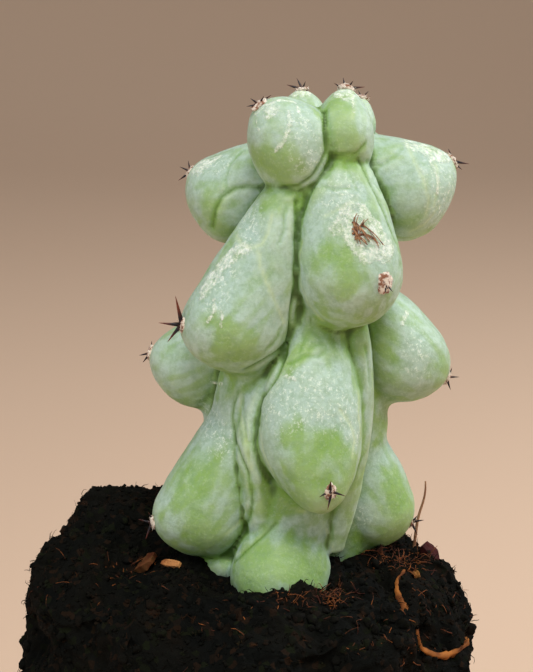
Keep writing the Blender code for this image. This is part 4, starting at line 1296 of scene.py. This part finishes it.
crumbs = scatter_crumbs()
fibres = scatter_fibres()
roots = root_bits()
black_peat(crumbs, "peat_crumb", ("0B0C09", "110F0B", "20150D", "171A0F"))
black_peat(fibres, "coir_fibre", ("0C0C09", "15110C", "3A2414", "1D1E10"))
rusty_root(roots)
for piece in (crumbs, fibres, roots):
    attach(piece, "root")


# The straws. One flat, dry blade lies bent over the peat at the right. The other is a
# thin stalk that stands up behind the plant. Both are split grass, straw yellow turning brown.
STRAW_BENT = ((30.8, -12.2), (29.0, -16.0), (29.6, -22.4), (33.6, -26.6), (39.4, -21.6), (43.6, -13.4))
STRAW_BENT_WIDTHS = (0.26, 0.32, 0.48, 0.72, 0.62, 0.42)
STRAW_FLATTENING = 0.65
STRAW_LIFT = 0.85
STRAW_UPRIGHT = ((34.4, 9.6, -8.0), (35.0, 10.0, -1.0), (35.4, 10.0, 5.0), (37.2, 10.2, 8.0), (37.0, 10.6, 11.4))
STRAW_UPRIGHT_RADIUS = 0.4


def above_peat(x, y):
    place, outward, _, _ = peat_tree.ray_cast(Vector((x, y, 200)) * MM, Vector((0, 0, -1)))
    return place, outward


def lay_straw():
    """A tube laid over the peat, and then pressed flat towards it."""
    strand = []
    for (x, y), width in zip(STRAW_BENT, STRAW_BENT_WIDTHS):
        place, outward = above_peat(x, y)
        strand.append((place + outward * STRAW_LIFT * MM, width))
    straw = grow_strands("bent_straw", [strand], 4, True)
    for vert in straw.data.vertices:
        near, outward, _, _ = peat_tree.find_nearest(vert.co)
        middle = near + outward * STRAW_LIFT * MM
        vert.co -= outward * outward.dot(vert.co - middle) * STRAW_FLATTENING
    return straw


def stand_straw():
    strand = []
    for number, (x, y, height) in enumerate(STRAW_UPRIGHT):
        place = Vector((x * MM, y * MM, PEAT_TOP + height * MM))
        strand.append((place, STRAW_UPRIGHT_RADIUS * (1 - 0.14 * number)))
    return grow_strands("upright_straw", [strand], 3, True)


def dry_straw(obj, name, colours):
    """Dry grass stem: satin, ribbed along its length, blotched where damp has got in."""
    straw = new_finish(name)
    place = add_node(straw, "TexCoord", {}, "Object")
    blotch = add_node(straw, "TexNoise", {"Vector": place, "Scale": 1 / (5 * MM), "Detail": 3.0})
    rib = add_node(straw, "TexNoise", {"Vector": place, "Scale": 1 / (0.35 * MM), "Detail": 2.0})
    shade = add_node(straw, "MapRange", {0: blotch, 1: 0.38, 2: 0.62})
    colour = add_node(straw, "Mix", {"data_type": "RGBA", 0: shade, 6: colours[0], 7: colours[1]}, 2)
    rub = add_node(straw, "MapRange", {0: rib, 1: 0.56, 2: 0.70, 4: 0.5})
    colour = add_node(straw, "Mix", {"data_type": "RGBA", 0: rub, 6: colour, 7: colours[2]}, 2)
    ribs = add_node(straw, "Bump", {"Strength": 0.5, "Distance": 0.12 * MM, "Height": rib})
    finished(obj, straw, {"Base Color": colour, "Roughness": 0.75, "Specular IOR Level": 0.15, "Normal": ribs})


bent_straw = lay_straw()
upright_straw = stand_straw()
dry_straw(bent_straw, "dry_straw", ("5A2E12", "A5642B", "7A4A1C"))
dry_straw(upright_straw, "weathered_straw", ("8A5C42", "B4896A", "C6A688"))
for piece, node in ((bent_straw, "straw_bent"), (upright_straw, "straw_upright")):
    piece.data.shade_smooth()
    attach(piece, "root")
    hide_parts(node)


# Bark and wood. Two flat chips of pine bark and two splinters of wood from the potting mix lie half sunk in the
# peat. Bark is laid down in thin plates, so its edges are stepped, and wood splits along its grain.
# Each bit: place (x, y) and turn in degrees, then length, width and thickness in millimetres.
BITS = {
    "bark_chip_left": ((-20.5, -7.8), 70, (5.2, 4.0, 1.5), ("5A2C16", "6E4A28", "3C3A1C")),
    "bark_chip_right": ((37.5, 5.0), 100, (4.6, 3.4, 1.8), ("2C0C0C", "421716", "1C0707")),
    "wood_sliver_left": ((-15.0, -14.4), 14, (5.4, 1.5, 1.0), ("9A5E34", "C08650", "5A3018")),
    "wood_sliver_right": ((34.0, -7.0), 35, (4.2, 1.5, 1.0), ("6E3A18", "865A2A", "45421C")),
}
BIT_LIFT = 0.5


def split_bit(name, spot, turn, size):
    place, outward = spot
    bpy.ops.object.select_all(action="DESELECT")
    bpy.ops.mesh.primitive_cube_add(size=1.0, location=(0, 0, 0))
    bit = bpy.context.object
    bit.name = name
    bpy.ops.object.mode_set(mode="EDIT")
    bpy.ops.mesh.select_all(action="SELECT")
    bpy.ops.mesh.subdivide(number_cuts=15)
    bpy.ops.object.mode_set(mode="OBJECT")
    length, width, thickness = size
    for vert in bit.data.vertices:
        x, y, z = vert.co
        taper = 1 - 1.6 * x**2 + 0.25 * x
        ragged = 1 + 0.22 * noise.noise(Vector((x * 4, 0, len(name))))
        plate = 0.82 + 0.18 * round(2.2 * noise.noise(Vector((x * 1.8, y * 3.5, len(name) + 4))))
        fine = 0.12 * noise.noise(Vector((x * length / 0.8, y * width / 0.35, z * 3)))
        vert.co = Vector((x * length, y * width * taper * ragged, (z * plate + fine) * thickness * taper)) * MM
    facing = outward.to_track_quat("Z", "Y").to_matrix().to_4x4()
    turned = Matrix.Rotation(math.radians(turn), 4, "Z")
    bit.data.transform(Matrix.Translation(place + outward * BIT_LIFT * MM) @ facing @ turned)
    bit.data.shade_smooth()
    return bit


for name, (spot, turn, size, colours) in BITS.items():
    bit = split_bit(name + "_fine", above_peat(*spot), turn, size)
    dry_straw(bit, name + "_grain", colours)
    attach(bit, "root")
    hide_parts(name)
